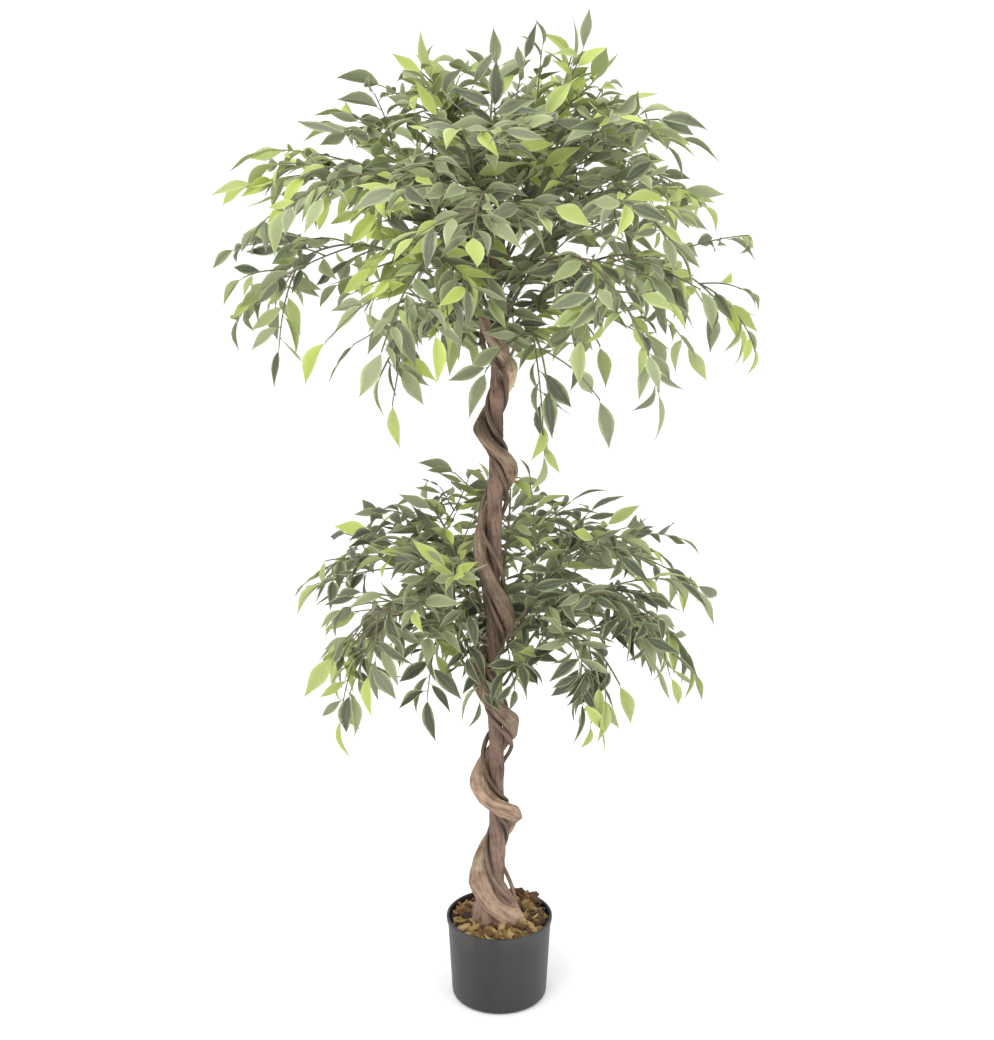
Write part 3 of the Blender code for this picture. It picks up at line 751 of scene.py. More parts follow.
def makeStem(node, routes):
    look = barkLooks[node]
    neighbours = [tree for other, tree in trunkTrees.items() if other != node]
    pieces = []
    for route in routes:
        even = evenly(route, trunkShape["stepLength"])
        tube = tubeFrom(look["name"], [even], look["sides"])
        barked(tube, even, look, neighbours)
        pieces.append(tube)
    stem = joined(look["name"], pieces)
    dress(stem, look["material"])
    smoothed(stem, 60.0)
    standsFor(stem, node)


def tapered(route):
    place, radius = route[-1]
    return route[:-1] + [(place, radius * trunkShape["tipTaper"])]


def makeTrunk():
    shape = trunkShape
    foot, fade, most = shape["flare"]
    mainRoute = []
    for i in range(shape["mainSteps"] + 1):
        height = blend(shape["mainFoot"], shape["mainTop"], i / shape["mainSteps"])
        flare = 1.0 + most * math.exp(-abs(height - foot) / fade)
        mainRoute.append((trunkCentre(height), mainRadius(height) * flare))
    roots = []
    for bearing, size in shape["rootBearings"].items():
        legs = []
        for height, out, radius in shape["rootPath"]:
            aside = levelHeading(bearing + shape["rootSwing"] * out) * out * size
            legs.append((trunkCentre(height) + aside, radius * size))
        roots.append(rounded(legs, 3))
    airRoot = rounded([(Vector(place), shape["airRootRadius"]) for place in shape["airRoot"]], 3)
    makeStem("stem_main", [tapered(mainRoute), airRoot] + roots)
    liana = woundRoute(shape["lianaFoot"], shape["mainTop"], 0.0, lianaRadius, lambda step, height: 0.0)
    makeStem("stem_liana", [tapered(liana)])
    for node, (ahead, top) in shape["vines"].items():
        vine = woundRoute(shape["vineFoot"], top, ahead, lambda height: shape["vineRadius"], vineLoop)
        makeStem(node, [tapered(vine)])


def rounded(route, rounds):
    # cuts the corners of a route of (place, radius), and keeps its ends
    for _ in range(rounds):
        cut = [route[0]]
        for (start, first), (end, second) in zip(route, route[1:]):
            cut.append((start.lerp(end, 0.25), blend(first, second, 0.25)))
            cut.append((start.lerp(end, 0.75), blend(first, second, 0.75)))
        route = cut + [route[-1]]
    return route


makeTrunk()
print("trunk made")


# mulch

mulchShape = {
    "edgeHeight": 0.1265, "middleHeight": 0.132, "bottom": 0.1124, "depth": 0.02, "sides": 72, "rings": 7,
    "fitGap": 0.0004, "lumps": (90.0, 0.0022), "backHeap": (0.042, 0.048, 0.036, 0.014),
    "chips": 460, "seed": 11, "lengths": (0.008, 0.025), "turn": 137.5, "tilt": 32.0, "lift": (-0.002, 0.006),
    # the last pair: from how far forward the chips are painted paler, and by how much, as painted light on
    # the front of the mulch
    "lengthShare": 0.42, "shadePower": 1.1, "palest": 0.92, "frontPaintedLight": (0.05, 0.3),
    # patterns: where one is cut, from where and how far it is frayed, how worn and how uneven it is
    "cutAt": 0.12, "frayFrom": 0.45, "fray": (0.45, 0.1, 0.7), "worn": 0.3, "uneven": 0.2,
    # length, width and thickness of each
    "patterns": ((1.0, 0.46, 0.24), (1.0, 0.36, 0.28), (1.0, 0.58, 0.2), (1.0, 0.28, 0.22), (1.0, 0.5, 0.32)),
}


def mulchHeight(x, y):
    # a low mound with a small heap at the back right
    reach = (math.hypot(x, y) / potShape["topRadius"]) ** 2
    height = blend(mulchShape["middleHeight"], mulchShape["edgeHeight"], min(reach, 1.0))
    heapX, heapY, heapWidth, heapRise = mulchShape["backHeap"]
    away = math.hypot(x - heapX, y - heapY) / heapWidth
    return height + heapRise * math.exp(-away * away)


def chipPattern(number, size):
    # a split of bark: a block that is cut, frayed at one end and worn at its edges
    shape = mulchShape
    length, _, thick = size
    least, gain, flat = shape["fray"]
    deselectAll()
    bpy.ops.mesh.primitive_cube_add(size=1.0)
    chip = bpy.context.active_object
    chip.scale = size
    settle(chip)
    startEdit(chip)
    pickAll()
    bpy.ops.mesh.bisect(plane_co=(length * shape["cutAt"], 0.0, 0.0), plane_no=(1.0, 0.3, 0.1))
    pickVerts(lambda place: place.x > length * shape["frayFrom"])
    frayed = (1.0, least + gain * number, flat)
    bpy.ops.transform.resize(value=frayed, center_override=(length / 2.0, 0.0, 0.0))
    pickAll()
    bpy.ops.mesh.bevel(offset=thick * shape["worn"], segments=1, affect="EDGES")
    pickAll()
    bpy.ops.transform.vertex_random(offset=thick * shape["uneven"], uniform=0.5, seed=number + 3)
    bpy.ops.mesh.normals_make_consistent(inside=False)
    endEdit()
    chip.name = f"chipPattern{number}"
    dress(chip, "chips")
    return chip


def insidePot(height):
    return potRadius(height) - potShape["wall"] - mulchShape["fitGap"]


def makeBed(reach):
    shape = mulchShape
    edge = shape["edgeHeight"]
    bottom = shape["bottom"]
    deselectAll()
    bpy.ops.mesh.primitive_cylinder_add(vertices=shape["sides"], radius=reach, depth=shape["depth"],
                                        location=(0.0, 0.0, edge - shape["depth"] / 2.0))
    bed = bpy.context.active_object
    settle(bed)
    startEdit(bed)
    pickVerts(lambda place: place.z < edge - 0.005)
    bpy.ops.transform.translate(value=(0.0, 0.0, bottom - (edge - shape["depth"])))
    widen(insidePot(bottom) / reach, bottom)
    pickFaces(lambda middle, normal: normal.z > 0.9)
    for _ in range(shape["rings"]):
        bpy.ops.mesh.inset(thickness=reach / (shape["rings"] + 1.0), depth=0.0)
    endEdit()
    fineness, rise = shape["lumps"]
    for vert in bed.data.vertices:
        if vert.co.z > bottom + 0.003 and vert.co.xy.length < reach - 0.001:
            lumps = noise.noise(vert.co * fineness) * rise
            vert.co.z = mulchHeight(vert.co.x, vert.co.y) + lumps
    dress(bed, "soil")
    return bed


def makeChips(reach):
    # they lie in a spiral from the middle out, which covers the bed evenly
    shape = mulchShape
    litFrom, pale = shape["frontPaintedLight"]
    patterns = [chipPattern(number, size) for number, size in enumerate(shape["patterns"])]
    draw = random.Random(shape["seed"])
    chips = []
    for i in range(shape["chips"]):
        length = draw.uniform(*shape["lengths"])
        out = (reach - length * shape["lengthShare"]) * math.sqrt((i + 0.5) / shape["chips"])
        place = levelHeading(shape["turn"] * i) * out
        place.z = mulchHeight(place.x, place.y) + draw.uniform(*shape["lift"])
        pattern = draw.choice(patterns)
        turn = Matrix.Rotation(draw.uniform(0.0, 2.0 * math.pi), 4, "Z")
        for axis in "XY":
            turn = turn @ Matrix.Rotation(math.radians(draw.uniform(-shape["tilt"], shape["tilt"])), 4, axis)
        matrix = Matrix.Translation(place) @ turn @ Matrix.Diagonal((length, length, length, 1.0))
        # painted light: chips towards the front of the pot get a paler tint, where the light falls on the
        # front of the mulch
        shade = draw.random() ** shape["shadePower"] + (pale if -place.y > litFrom else 0.0)
        chips.append(stamped(pattern, matrix, min(shade, shape["palest"])))
    removeAll(patterns)
    return chips


reach = insidePot(mulchShape["edgeHeight"])
mulch = joined("barkMulch", [makeBed(reach)] + makeChips(reach))
smoothed(mulch, 45.0)
standsFor(mulch, "bark_chips")
print("mulch made:", len(mulch.data.polygons), "faces")


# leaves: a few patterns, modelled once and copied

leafShape = {
    # how far along each row of the blade lies, and how wide it is there
    "rows": ((0.0, 0.0), (0.08, 0.34), (0.2, 0.74), (0.34, 0.98), (0.48, 0.97), (0.63, 0.72), (0.78, 0.38),
             (0.9, 0.12), (1.0, 0.0)),
    "thickness": 0.01, "halfWidth": 0.27,
    # fold along the midrib, droop of each row, twist of each row, in degrees
    "patterns": ((10.0, 5.0, 2.0), (18.0, 8.0, -3.0), (6.0, 3.0, -5.0), (24.0, 6.0, 4.0), (14.0, 10.0, 0.0),
                 (8.0, -2.0, 6.0)),
}


def leafPattern(number, fold, droop, twist):
    rows = leafShape["rows"]
    last = len(rows) - 1
    deselectAll()
    bpy.ops.mesh.primitive_grid_add(x_subdivisions=2, y_subdivisions=last, size=1.0, location=(0.0, 0.5, 0.0))
    leaf = bpy.context.active_object
    settle(leaf)
    leaf.data.uv_layers[0].name = "leafMap"
    startEdit(leaf)
    rise = math.tan(math.radians(fold))
    # each row is set to its width and place, from the tip down, then its margins are folded up
    for i in range(last, -1, -1):
        along, width = rows[i]
        half = leafShape["halfWidth"] * width
        height = i / last
        wide = max(half, 0.0001) / 0.5
        pickVerts(lambda place: abs(place.y - height) < 0.01)
        bpy.ops.transform.resize(value=(wide, 1.0, 1.0), center_override=(0.0, height, 0.0))
        pickVerts(lambda place: abs(place.y - height) < 0.01 and abs(place.x) > half * 0.5)
        bpy.ops.transform.translate(value=(0.0, 0.0, half * rise))
    for vert in editShape().verts:
        vert.co.y = rows[round(vert.co.y * last)][0]
    bmesh.update_edit_mesh(leaf.data)
    pickAll()
    bpy.ops.mesh.remove_doubles(threshold=0.001)
    # droop and twist: everything beyond each row is turned about it
    for along, _ in rows[1:-1]:
        pickVerts(lambda place: place.y > along - 0.001)
        middle = leafMiddle(along)
        bpy.ops.transform.rotate(value=math.radians(droop), orient_axis="X", center_override=middle)
        bpy.ops.transform.rotate(value=math.radians(twist), orient_axis="Y", center_override=middle)
    endEdit()
    dress(leaf, "leafTop", "leafUnder")
    solid = leaf.modifiers.new("thickness", "SOLIDIFY")
    solid.thickness = leafShape["thickness"]
    solid.offset = -1.0
    solid.material_offset = 1
    solid.material_offset_rim = 1
    applyAll(leaf)
    smoothed(leaf, 40.0)
    leaf.name = f"leafPattern{number}"
    return leaf


def leafMiddle(along):
    # where the midrib has got to at a row, in the leaf that is being edited
    near = min(editShape().verts, key=lambda vert: abs(vert.co.y - along) + abs(vert.co.x))
    return tuple(near.co)


leafPatterns = [leafPattern(number, *look) for number, look in enumerate(leafShape["patterns"])]
print("leaf patterns made:", len(leafPatterns[0].data.polygons), "faces each")


# sprays: the CAD model's twigs and leaves, and more of both

# first is a bearing, foot and tip are heights, and lift says how high the twig arches
whorlParts = ("name", "count", "first", "arc", "foot", "reach", "tip", "lift", "hang")
whorls = [dict(zip(whorlParts, whorl)) for whorl in (
    ("crown_low", 4, 208.0, 360.0, 1.030, 0.170, 1.018, 0.130, 0.57),
    ("crown_wide", 6, 178.0, 360.0, 1.070, 0.345, 1.105, 0.210, 0.50),
    ("crown_mid", 6, 208.0, 360.0, 1.110, 0.310, 1.225, 0.185, 0.32),
    ("crown_high", 5, 186.0, 360.0, 1.145, 0.225, 1.368, 0.105, 0.10),
    ("crown_top", 4, 282.0, 360.0, 1.178, 0.100, 1.398, 0.030, -0.35),
    ("tier_low", 5, 326.0, 242.0, 0.535, 0.228, 0.556, 0.175, 0.68),
    ("tier_mid", 5, 341.0, 231.0, 0.590, 0.280, 0.648, 0.140, 0.46),
    ("tier_high", 4, 355.0, 218.0, 0.645, 0.149, 0.774, 0.050, -0.08),
)]

sprayShape = {
    "seed": 23, "swerve": 7.0, "footSpread": 0.018, "reachSpread": (0.9, 1.1), "tipSpread": 0.035,
    "stub": 0.008, "archShares": (0.0, 0.34, 0.68, 1.0), "sideShares": (0.5, 0.7),
    "sideLengths": (0.105, 0.15), "fullSideReach": 0.16, "sideHeading": (0.62, 0.78), "sideBend": 0.52,
    "sideSwing": 0.25, "sideFall": (0.18, 0.45), "twigFoot": 0.0032, "seatGap": 0.0004, "seatSearch": 0.12,
    "seatShares": (0.0, 0.25, 0.5, 0.75),
    "leafShares": (0.42, 0.64, 0.86), "shortReach": 0.23, "sideLeafShare": 0.5, "tipSunk": 0.003,
    "leafLengths": (0.058, 0.076), "leafWidths": (0.44, 0.52), "leafDroop": 0.16, "leafSpread": (38.0, 62.0),
    "leafSway": 0.22, "leafRoll": 42.0, "leafOutlook": 1.3, "attemptTurn": 2.0, "attempts": 14,
    "leafProbes": (0.65, 0.98), "leafFaceNear": 0.0007,
}

extraShape = {
    "twigShares": (0.22, 0.33, 0.44, 0.55, 0.66, 0.78, 0.9), "twigSpread": 0.04, "twigLengths": (0.06, 0.105),
    "subTwigShare": 0.42, "subTwigSpread": 0.08, "subTwigLengths": (0.05, 0.075), "twigRoll": 60.0,
    "fullTwigReach": 0.32, "twigRadii": (0.0026, 0.0012), "sideRadii": (0.0014, 0.0008),
    "shorter": (1.0, 0.75, 0.5), "looseSwing": 0.012, "footSwell": (1.5, 1.2), "samples": (60, 24, 40),
    "stalk": 0.006, "stalkRadius": 0.00065, "stalkSides": 4, "stalkBend": 0.001, "stalkEnd": (0.003, 0.7),
    # leaves: from where along a twig, how far apart, and how they may lie
    "leafStep": 0.0135, "leafFrom": 0.08, "leafTo": 0.995, "sideLeafFrom": 0.2, "sideLeafOut": (0.35, 0.5),
    "leafLengths": (0.042, 0.07), "leafNarrow": 0.62, "cadLeafNarrow": 0.69, "cadLeafOut": 0.75,
    "leafApart": 0.0111, "tierApart": 1.18, "enough": 0.72,
    "cell": 0.02, "attempts": 7, "lessHang": 0.34, "outlook": (-0.1, 1.3), "roll": 70.0, "sag": 0.2,
    # shades from 0, deep, to 1, young: how young a leaf is likely to be, by how far out on its spray it is
    "frontTo": 0.08, "youngInPlace": 0.88, "youngFront": (0.09, 0.08), "youngBack": (0.06, 0.22, 0.9, 11.0),
    "youngShades": (0.76, 1.0), "oldShades": (0.0, 0.66), "darker": 0.35, "tierShade": -0.1,
    "freshness": (-0.12, 0.16), "freshShare": 0.6,
    # the trunk's front shows: how far to its left and right in each tier, up to what height, rising forwards
    "trunkClear": 0.028, "frontClear": (0.034, 0.016, 1.055, 0.167), "frontLeaves": (0.51, 0.605),
    "tierLeftTo": 0.8, "boxSpare": -0.01, "border": 0.87,
    # how far out from the trunk the foliage reaches, by height, in each tier
    "tier": (
        (0.39, 0.12), (0.42, 0.26), (0.5, 0.305), (0.6, 0.3), (0.72, 0.31), (0.78, 0.24), (0.84, 0.17),
        (0.87, 0.06),
    ),
    "crown": (
        (0.86, 0.06), (0.92, 0.19), (0.98, 0.31), (1.04, 0.365), (1.12, 0.41), (1.2, 0.405), (1.27, 0.37),
        (1.34, 0.305), (1.41, 0.225), (1.46, 0.13), (1.5, 0.02),
    ),
    # height of the crown's underside from left to right, and how fast it rises towards the front
    "skirt": (
        (-0.45, 1.07), (-0.36, 1.045), (-0.3, 1.03), (-0.26, 1.08), (-0.19, 1.08), (-0.13, 0.975),
        (-0.05, 0.99), (0.0, 1.04), (0.05, 1.02), (0.11, 1.04), (0.15, 1.075), (0.21, 1.065), (0.24, 1.01),
        (0.3, 1.11), (0.36, 1.04), (0.45, 1.08),
    ),
    "skirtRise": 0.2,
    # places that stay open among the leaves: across, up and how wide
    "open": (
        (-0.185, 0.655, 0.045), (-0.245, 0.56, 0.035), (0.185, 0.56, 0.04), (0.305, 1.1, 0.042),
        (0.155, 1.195, 0.022), (-0.255, 1.165, 0.025), (0.04, 1.19, 0.028), (0.03, 1.262, 0.02),
        (-0.255, 0.72, 0.032), (-0.05, 0.8, 0.02), (0.115, 0.815, 0.034), (0.17, 0.8, 0.028),
        (0.014, 0.53, 0.024), (0.172, 1.165, 0.028), (0.052, 0.835, 0.022), (0.325, 1.06, 0.026),
        (0.105, 1.165, 0.018), (0.045, 1.085, 0.018),
    ),
}

# where the young, bright leaves stand on the front half: across, up and how wide
youngPlaces = (
    (-0.325, 1.29, 0.055), (-0.345, 1.12, 0.034), (-0.305, 1.085, 0.036), (-0.172, 1.215, 0.072),
    (-0.105, 1.41, 0.045), (0.125, 1.47, 0.06), (0.077, 1.395, 0.034), (0.057, 1.31, 0.036),
    (0.255, 1.264, 0.065), (0.108, 1.08, 0.05), (0.167, 1.09, 0.025), (0.265, 1.165, 0.03),
    (0.345, 1.06, 0.042), (0.262, 1.04, 0.038), (-0.12, 0.965, 0.028), (0.056, 0.905, 0.03),
    (-0.042, 1.165, 0.016), (0.135, 0.52, 0.048), (-0.25, 0.59, 0.045), (-0.21, 0.49, 0.05),
    (0.047, 0.77, 0.045), (-0.067, 0.77, 0.038), (0.225, 0.73, 0.032), (-0.08, 0.6, 0.03),
    (-0.167, 0.73, 0.03), (0.275, 0.575, 0.032),
)

# where the darkest ones stand
darkPlaces = (
    (0.042, 1.455, 0.028), (-0.002, 1.425, 0.028), (-0.058, 1.425, 0.028), (0.075, 0.97, 0.034),
    (-0.155, 1.02, 0.03), (-0.345, 1.18, 0.034), (-0.285, 1.135, 0.03), (0.295, 1.195, 0.034),
    (-0.1, 0.82, 0.048), (-0.17, 0.775, 0.028), (0.095, 0.58, 0.045), (-0.035, 0.59, 0.04),
    (-0.23, 0.7, 0.034), (0.18, 0.66, 0.04),
)


def withinAny(spots, place):
    return any(math.hypot(place.x - across, place.z - level) < wide for across, level, wide in spots)


# long loose twigs on a spray: how far along it each starts, its tip and how high it arches
looseTwigs = {
    "crown_low_2": ((0.55, (0.062, -0.118, 0.912), 0.02), (0.22, (0.012, -0.11, 1.105), 0.03)),
    "crown_mid_2": ((0.36, (-0.018, -0.15, 1.125), 0.03), (0.45, (-0.16, -0.15, 1.25), 0.03)),
    "crown_wide_2": ((0.45, (-0.165, -0.17, 1.18), 0.04), (0.25, (-0.055, -0.13, 1.11), 0.03)),
    "crown_high_1": ((0.5, (-0.185, -0.1, 1.28), 0.03),),
    "crown_high_2": ((0.5, (-0.13, -0.165, 1.29), 0.03), (0.62, (-0.155, -0.18, 1.25), 0.03)),
    "tier_low_3": ((0.42, (-0.028, -0.09, 0.535), 0.02), (0.5, (0.022, -0.11, 0.56), 0.02)),
    "tier_low_4": ((0.4, (-0.105, -0.11, 0.545), 0.02), (0.2, (-0.048, -0.08, 0.6), 0.015)),
    "crown_wide_3": ((0.78, (0.203, -0.275, 1.03), 0.03), (0.66, (0.252, -0.15, 1.07), 0.03)),
    "crown_wide_4": ((0.8, (0.362, -0.022, 1.048), 0.03), (0.62, (0.365, 0.004, 1.2), 0.02)),
    "crown_wide_1": ((0.7, (-0.312, -0.035, 1.046), 0.03), (0.6, (-0.368, -0.03, 1.185), 0.02)),
    "crown_mid_1": ((0.62, (-0.345, -0.065, 1.272), 0.02),),
    "crown_mid_6": ((0.55, (-0.33, 0.04, 1.315), 0.02),),
    "crown_top_1": ((0.45, (0.032, -0.05, 1.436), 0.0),),
    "crown_top_2": ((0.5, (0.112, -0.03, 1.45), 0.0), (0.35, (0.058, 0.015, 1.452), 0.0)),
    "tier_mid_1": ((0.55, (0.286, -0.055, 0.7), 0.03), (0.8, (0.28, -0.105, 0.585), 0.03)),
    "tier_mid_2": ((0.7, (0.3, 0.08, 0.655), 0.03),),
    "tier_high_1": ((0.55, (0.262, 0.018, 0.752), 0.03), (0.25, (0.045, -0.02, 0.84), 0.01)),
    "tier_mid_4": ((0.2, (-0.046, -0.08, 0.665), 0.015),),
    "tier_low_1": ((0.72, (0.13, -0.165, 0.528), 0.03),),
    "tier_low_5": ((0.75, (-0.228, -0.15, 0.53), 0.03),),
    "tier_high_3": ((0.5, (-0.175, 0.03, 0.79), 0.02), (0.25, (-0.044, -0.075, 0.735), 0.015)),
}


def looseTwig(line, share, tip, arch):
    place, heading = alongRoute(line, share)
    end = Vector(tip)
    middle = (place + end) / 2.0 + up * arch + heading * extraShape["looseSwing"]
    return curved(place, middle, end, evenShares(8))


def evenShares(count):
    return [i / count for i in range(count + 1)]


def curved(start, middle, end, shares):
    # points at shares of the way along the smooth curve that three points draw
    points = []
    for share in shares:
        rest = 1.0 - share
        points.append(start * rest**2 + middle * (2.0 * share * rest) + end * share**2)
    return points


def seatOf(out, height):
    # where a twig that leaves the trunk along out has its foot
    shape = sprayShape
    centre = trunkCentre(height)
    aside = Vector((-out.y, out.x, 0.0))
    corners = [levelHeading(90.0 - 120.0 * i) for i in range(3)]
    spots = [Vector()]
    for start, end in zip(corners, corners[1:] + corners[:1]):
        spots += [start.lerp(end, share) * shape["twigFoot"] for share in shape["seatShares"]]
    hits = []
    for spot in spots:
        level = centre + aside * spot.x + up * spot.y
        for tree in trunkTrees.values():
            place, _, _, _ = tree.ray_cast(level + out * shape["seatSearch"], -out, shape["seatSearch"])
            if place:
                hits.append((place - centre).dot(out))
    return centre + out * (max(hits) + shape["seatGap"])


def legsOf(points):
    return [(end - start).length for start, end in zip(points, points[1:])]


def alongRoute(points, share):
    # the place at a share of a route's length, and its heading there
    lengths = legsOf(points)
    left = share * sum(lengths)
    for i, length in enumerate(lengths):
        if left <= length or i == len(lengths) - 1:
            heading = (points[i + 1] - points[i]).normalized()
            return points[i] + heading * left, heading
        left -= length


def archPoints(root, out, aside, reach, tip, lift, shares):
    start = root + out * sprayShape["stub"]
    end = Vector((out.x * reach, out.y * reach, tip)) + aside
    middle = (start + end) / 2.0 + up * lift - aside * 0.5
    return [root] + curved(start, middle, end, shares)


def sideTwig(points, share, hand, length, hang):
    shape = sprayShape
    place, along = alongRoute(points, share)
    across = along.cross(up).normalized() * hand
    heading = (along * shape["sideHeading"][0] + across * shape["sideHeading"][1]).normalized()
    middle = place + heading * length * shape["sideBend"]
    fall = up * (shape["sideFall"][0] + shape["sideFall"][1] * max(hang, 0.0))
    onward = (heading + along * shape["sideSwing"] - fall).normalized()
    return [place, middle, middle + onward * length * (1.0 - shape["sideBend"])]


def sprayTwigs(whorl, number):
    # the CAD model's main twig and side twigs, and a smooth route for the main one
    name, count, first, arc, foot, reach, tip, lift, hang = whorl.values()
    shape = sprayShape
    draw = random.Random(f"{shape['seed']} {name} {number}")
    gaps = count if arc == 360.0 else count - 1
    bearing = first + arc * number / gaps + draw.uniform(-shape["swerve"], shape["swerve"])
    out = levelHeading(bearing)
    root = seatOf(out, foot + draw.uniform(-shape["footSpread"], shape["footSpread"]))
    reach = reach * draw.uniform(*shape["reachSpread"])
    tip = tip + draw.uniform(-shape["tipSpread"], shape["tipSpread"])
    aside = levelHeading(bearing + 90.0) * draw.uniform(-shape["tipSpread"], shape["tipSpread"])
    hand = draw.choice((-1.0, 1.0))
    main = archPoints(root, out, aside, reach, tip, lift, shape["archShares"])
    smooth = archPoints(root, out, aside, reach, tip, lift, evenShares(12))
    twigs = []
    for share, sideHand in zip(shape["sideShares"], (hand, -hand)):
        length = draw.uniform(*shape["sideLengths"]) * min(reach / shape["fullSideReach"], 1.0)
        twigs.append(sideTwig(main, share, sideHand, length, hang))
    return main, smooth, twigs, hand


def leafSlots(whorl, main, twigs, hand):
    # where the CAD model's leaves grow: (base, heading of the twig, side it stands to)
    shape = sprayShape
    shares = shape["leafShares"][1:] if whorl["reach"] < shape["shortReach"] else shape["leafShares"]
    slots = []
    for points in (main, *twigs):
        heading = (points[-1] - points[-2]).normalized()
        slots.append((points[-1] - heading * shape["tipSunk"], heading, 0.0))
    for i, share in enumerate(shares):
        slots.append((*alongRoute(main, share), hand * (-1) ** i))
    for points, side in zip(twigs, (hand, -hand)):
        slots.append((*alongRoute(points, shape["sideLeafShare"]), side))
    return slots


def leafFrame(slot, hang, key, attempt, outlook, roll):
    # matrix, length and width share of a leaf: +Y runs to its tip and +Z is its upper face
    shape = sprayShape
    base, along, side = slot
    draw = random.Random(f"{key} {attempt}")
    across = along.cross(up)
    across = across.normalized() if across.length > 0.05 else Vector((1.0, 0.0, 0.0))
    spread = math.radians(draw.uniform(*shape["leafSpread"]) + attempt * shape["attemptTurn"]) * side
    sway = Vector([draw.uniform(-shape["leafSway"], shape["leafSway"]) for _ in range(3)])
    heading = along * math.cos(spread) + across * math.sin(spread) + sway - up * hang
    heading.normalize()
    lookUp = up + Vector((base.x, base.y, 0.0)).normalized() * outlook
    face = (lookUp - heading * lookUp.dot(heading)).normalized()
    face = Matrix.Rotation(math.radians(draw.uniform(-roll, roll)), 3, heading) @ face
    matrix = Matrix((heading.cross(face), heading, face)).transposed().to_4x4()
    matrix.translation = base
    return matrix, draw.uniform(*shape["leafLengths"]), draw.uniform(*shape["leafWidths"])


def onBlade(matrix, length, share):
    # the place at a share of a leaf's length, along its drooping middle
    return matrix @ Vector((0.0, share * length, -sprayShape["leafDroop"] * length * share**2))


def cadLeaf(slot, hang, key, tree):
    # the attempt that the CAD model kept, found by its surface, or None where it left the leaf out
    shape = sprayShape
    for attempt in range(shape["attempts"]):
        matrix, length, width = leafFrame(slot, hang, key, attempt, shape["leafOutlook"], shape["leafRoll"])
        near = [tree.find_nearest(onBlade(matrix, length, share))[3] for share in shape["leafProbes"]]
        if max(near) < shape["leafFaceNear"]:
            return matrix, length, width
    return None


grownLeaves = {}


def cellOf(place):
    return tuple(math.floor(part / extraShape["cell"]) for part in place)


def noteLeaf(matrix, length):
    middle = onBlade(matrix, length, 0.5)
    grownLeaves.setdefault(cellOf(middle), []).append(middle)


def valueAt(table, key):
    # the value of a table of (key, value) at a key between its rows, or None outside them
    for (low, first), (high, second) in zip(table, table[1:]):
        if low <= key <= high:
            return blend(first, second, (key - low) / (high - low))
    return None


def insideTier(place):
    # whether a place lies inside the outline of its tier
    crown = place.z > extraShape["border"]
    reach = valueAt(extraShape["crown" if crown else "tier"], place.z)
    if reach is None or place.xy.length > reach:
        return False
    return not crown or place.z > valueAt(extraShape["skirt"], place.x) - extraShape["skirtRise"] * place.y


def roomFor(matrix, length, loose):
    # how far a leaf's middle keeps from the others', and 0 where it leaves its tier or hides the trunk
    extra = extraShape
    spare = extra["boxSpare"]
    right, tierLeft, below, rise = extra["frontClear"]
    lowest, highest = extra["frontLeaves"]
    middle = onBlade(matrix, length, 0.5)
    for place in (middle, onBlade(matrix, length, 1.0)):
        if any(place[i] < cadBox[0][i] + spare or place[i] > cadBox[1][i] - spare for i in range(3)):
            return 0.0
        if not loose and (not insideTier(place) or withinAny(extra["open"], place)):
            return 0.0
        fromTrunk = place - trunkCentre(min(place.z, trunkShape["mainTop"]))
        if place.z < trunkShape["mainTop"] and fromTrunk.xy.length < extra["trunkClear"]:
            return 0.0
        shown = place.z < below - rise * place.y and not lowest < place.z < highest
        left = tierLeft if place.z < extra["tierLeftTo"] else right
        if shown and place.y < 0.0 and -left < fromTrunk.x < right:
            return 0.0
    home = cellOf(middle)
    nearest = extra["cell"]
    for step in itertools.product((-1, 0, 1), repeat=3):
        for other in grownLeaves.get(tuple(a + b for a, b in zip(home, step)), ()):
            nearest = min(nearest, (middle - other).length)
    return nearest


def nearestOn(points, place):
    return min(points, key=lambda point: (point - place).length)


def sampled(points, count):
    return [alongRoute(points, share)[0] for share in evenShares(count)]


def finerLine(points):
    return [place for place, _ in rounded([(place, 0.0) for place in points], 3)]


def rolledTwig(line, share, hand, length, hang, roll):
    # a side twig that leaves its line at a share, swung round it by roll degrees
    place, along = alongRoute(line, share)
    swing = Matrix.Rotation(math.radians(roll), 3, along)
    for shorter in extraShape["shorter"]:
        points = sideTwig(line, share, hand, length * shorter, hang)
        points = [points[0]] + [place + swing @ (point - place) for point in points[1:]]
        if insideTier(points[-1]):
            break
    return points


def extraTwig(draw, line, kind, share, size, hand, hang):
    # one of the scene's own side twigs, about a share of the way along its line
    extra = extraShape
    length = draw.uniform(*extra[kind + "Lengths"]) * size
    share += draw.uniform(-extra[kind + "Spread"], extra[kind + "Spread"])
    roll = draw.uniform(-extra["twigRoll"], extra["twigRoll"])
    return finerLine(rolledTwig(line, share, hand, length, hang, roll))


def bestLeaf(draw, slot, key, hang, apart, loose):
    # (room, matrix, length, width) of the attempt with the most room, or of the first with enough
    extra = extraShape
    best = (0.0,)
    for attempt in range(extra["attempts"]):
        sag = hang * extra["lessHang"] + draw.uniform(-extra["sag"], extra["sag"])
        outlook = draw.uniform(*extra["outlook"])
        matrix, _, width = leafFrame(slot, sag, key, attempt, outlook, extra["roll"])
        length = draw.uniform(*extra["leafLengths"])
        room = roomFor(matrix, length, loose)
        if room > best[0]:
            best = (room, matrix, length, width * extra["leafNarrow"])
        if room > apart:
            break
    return best


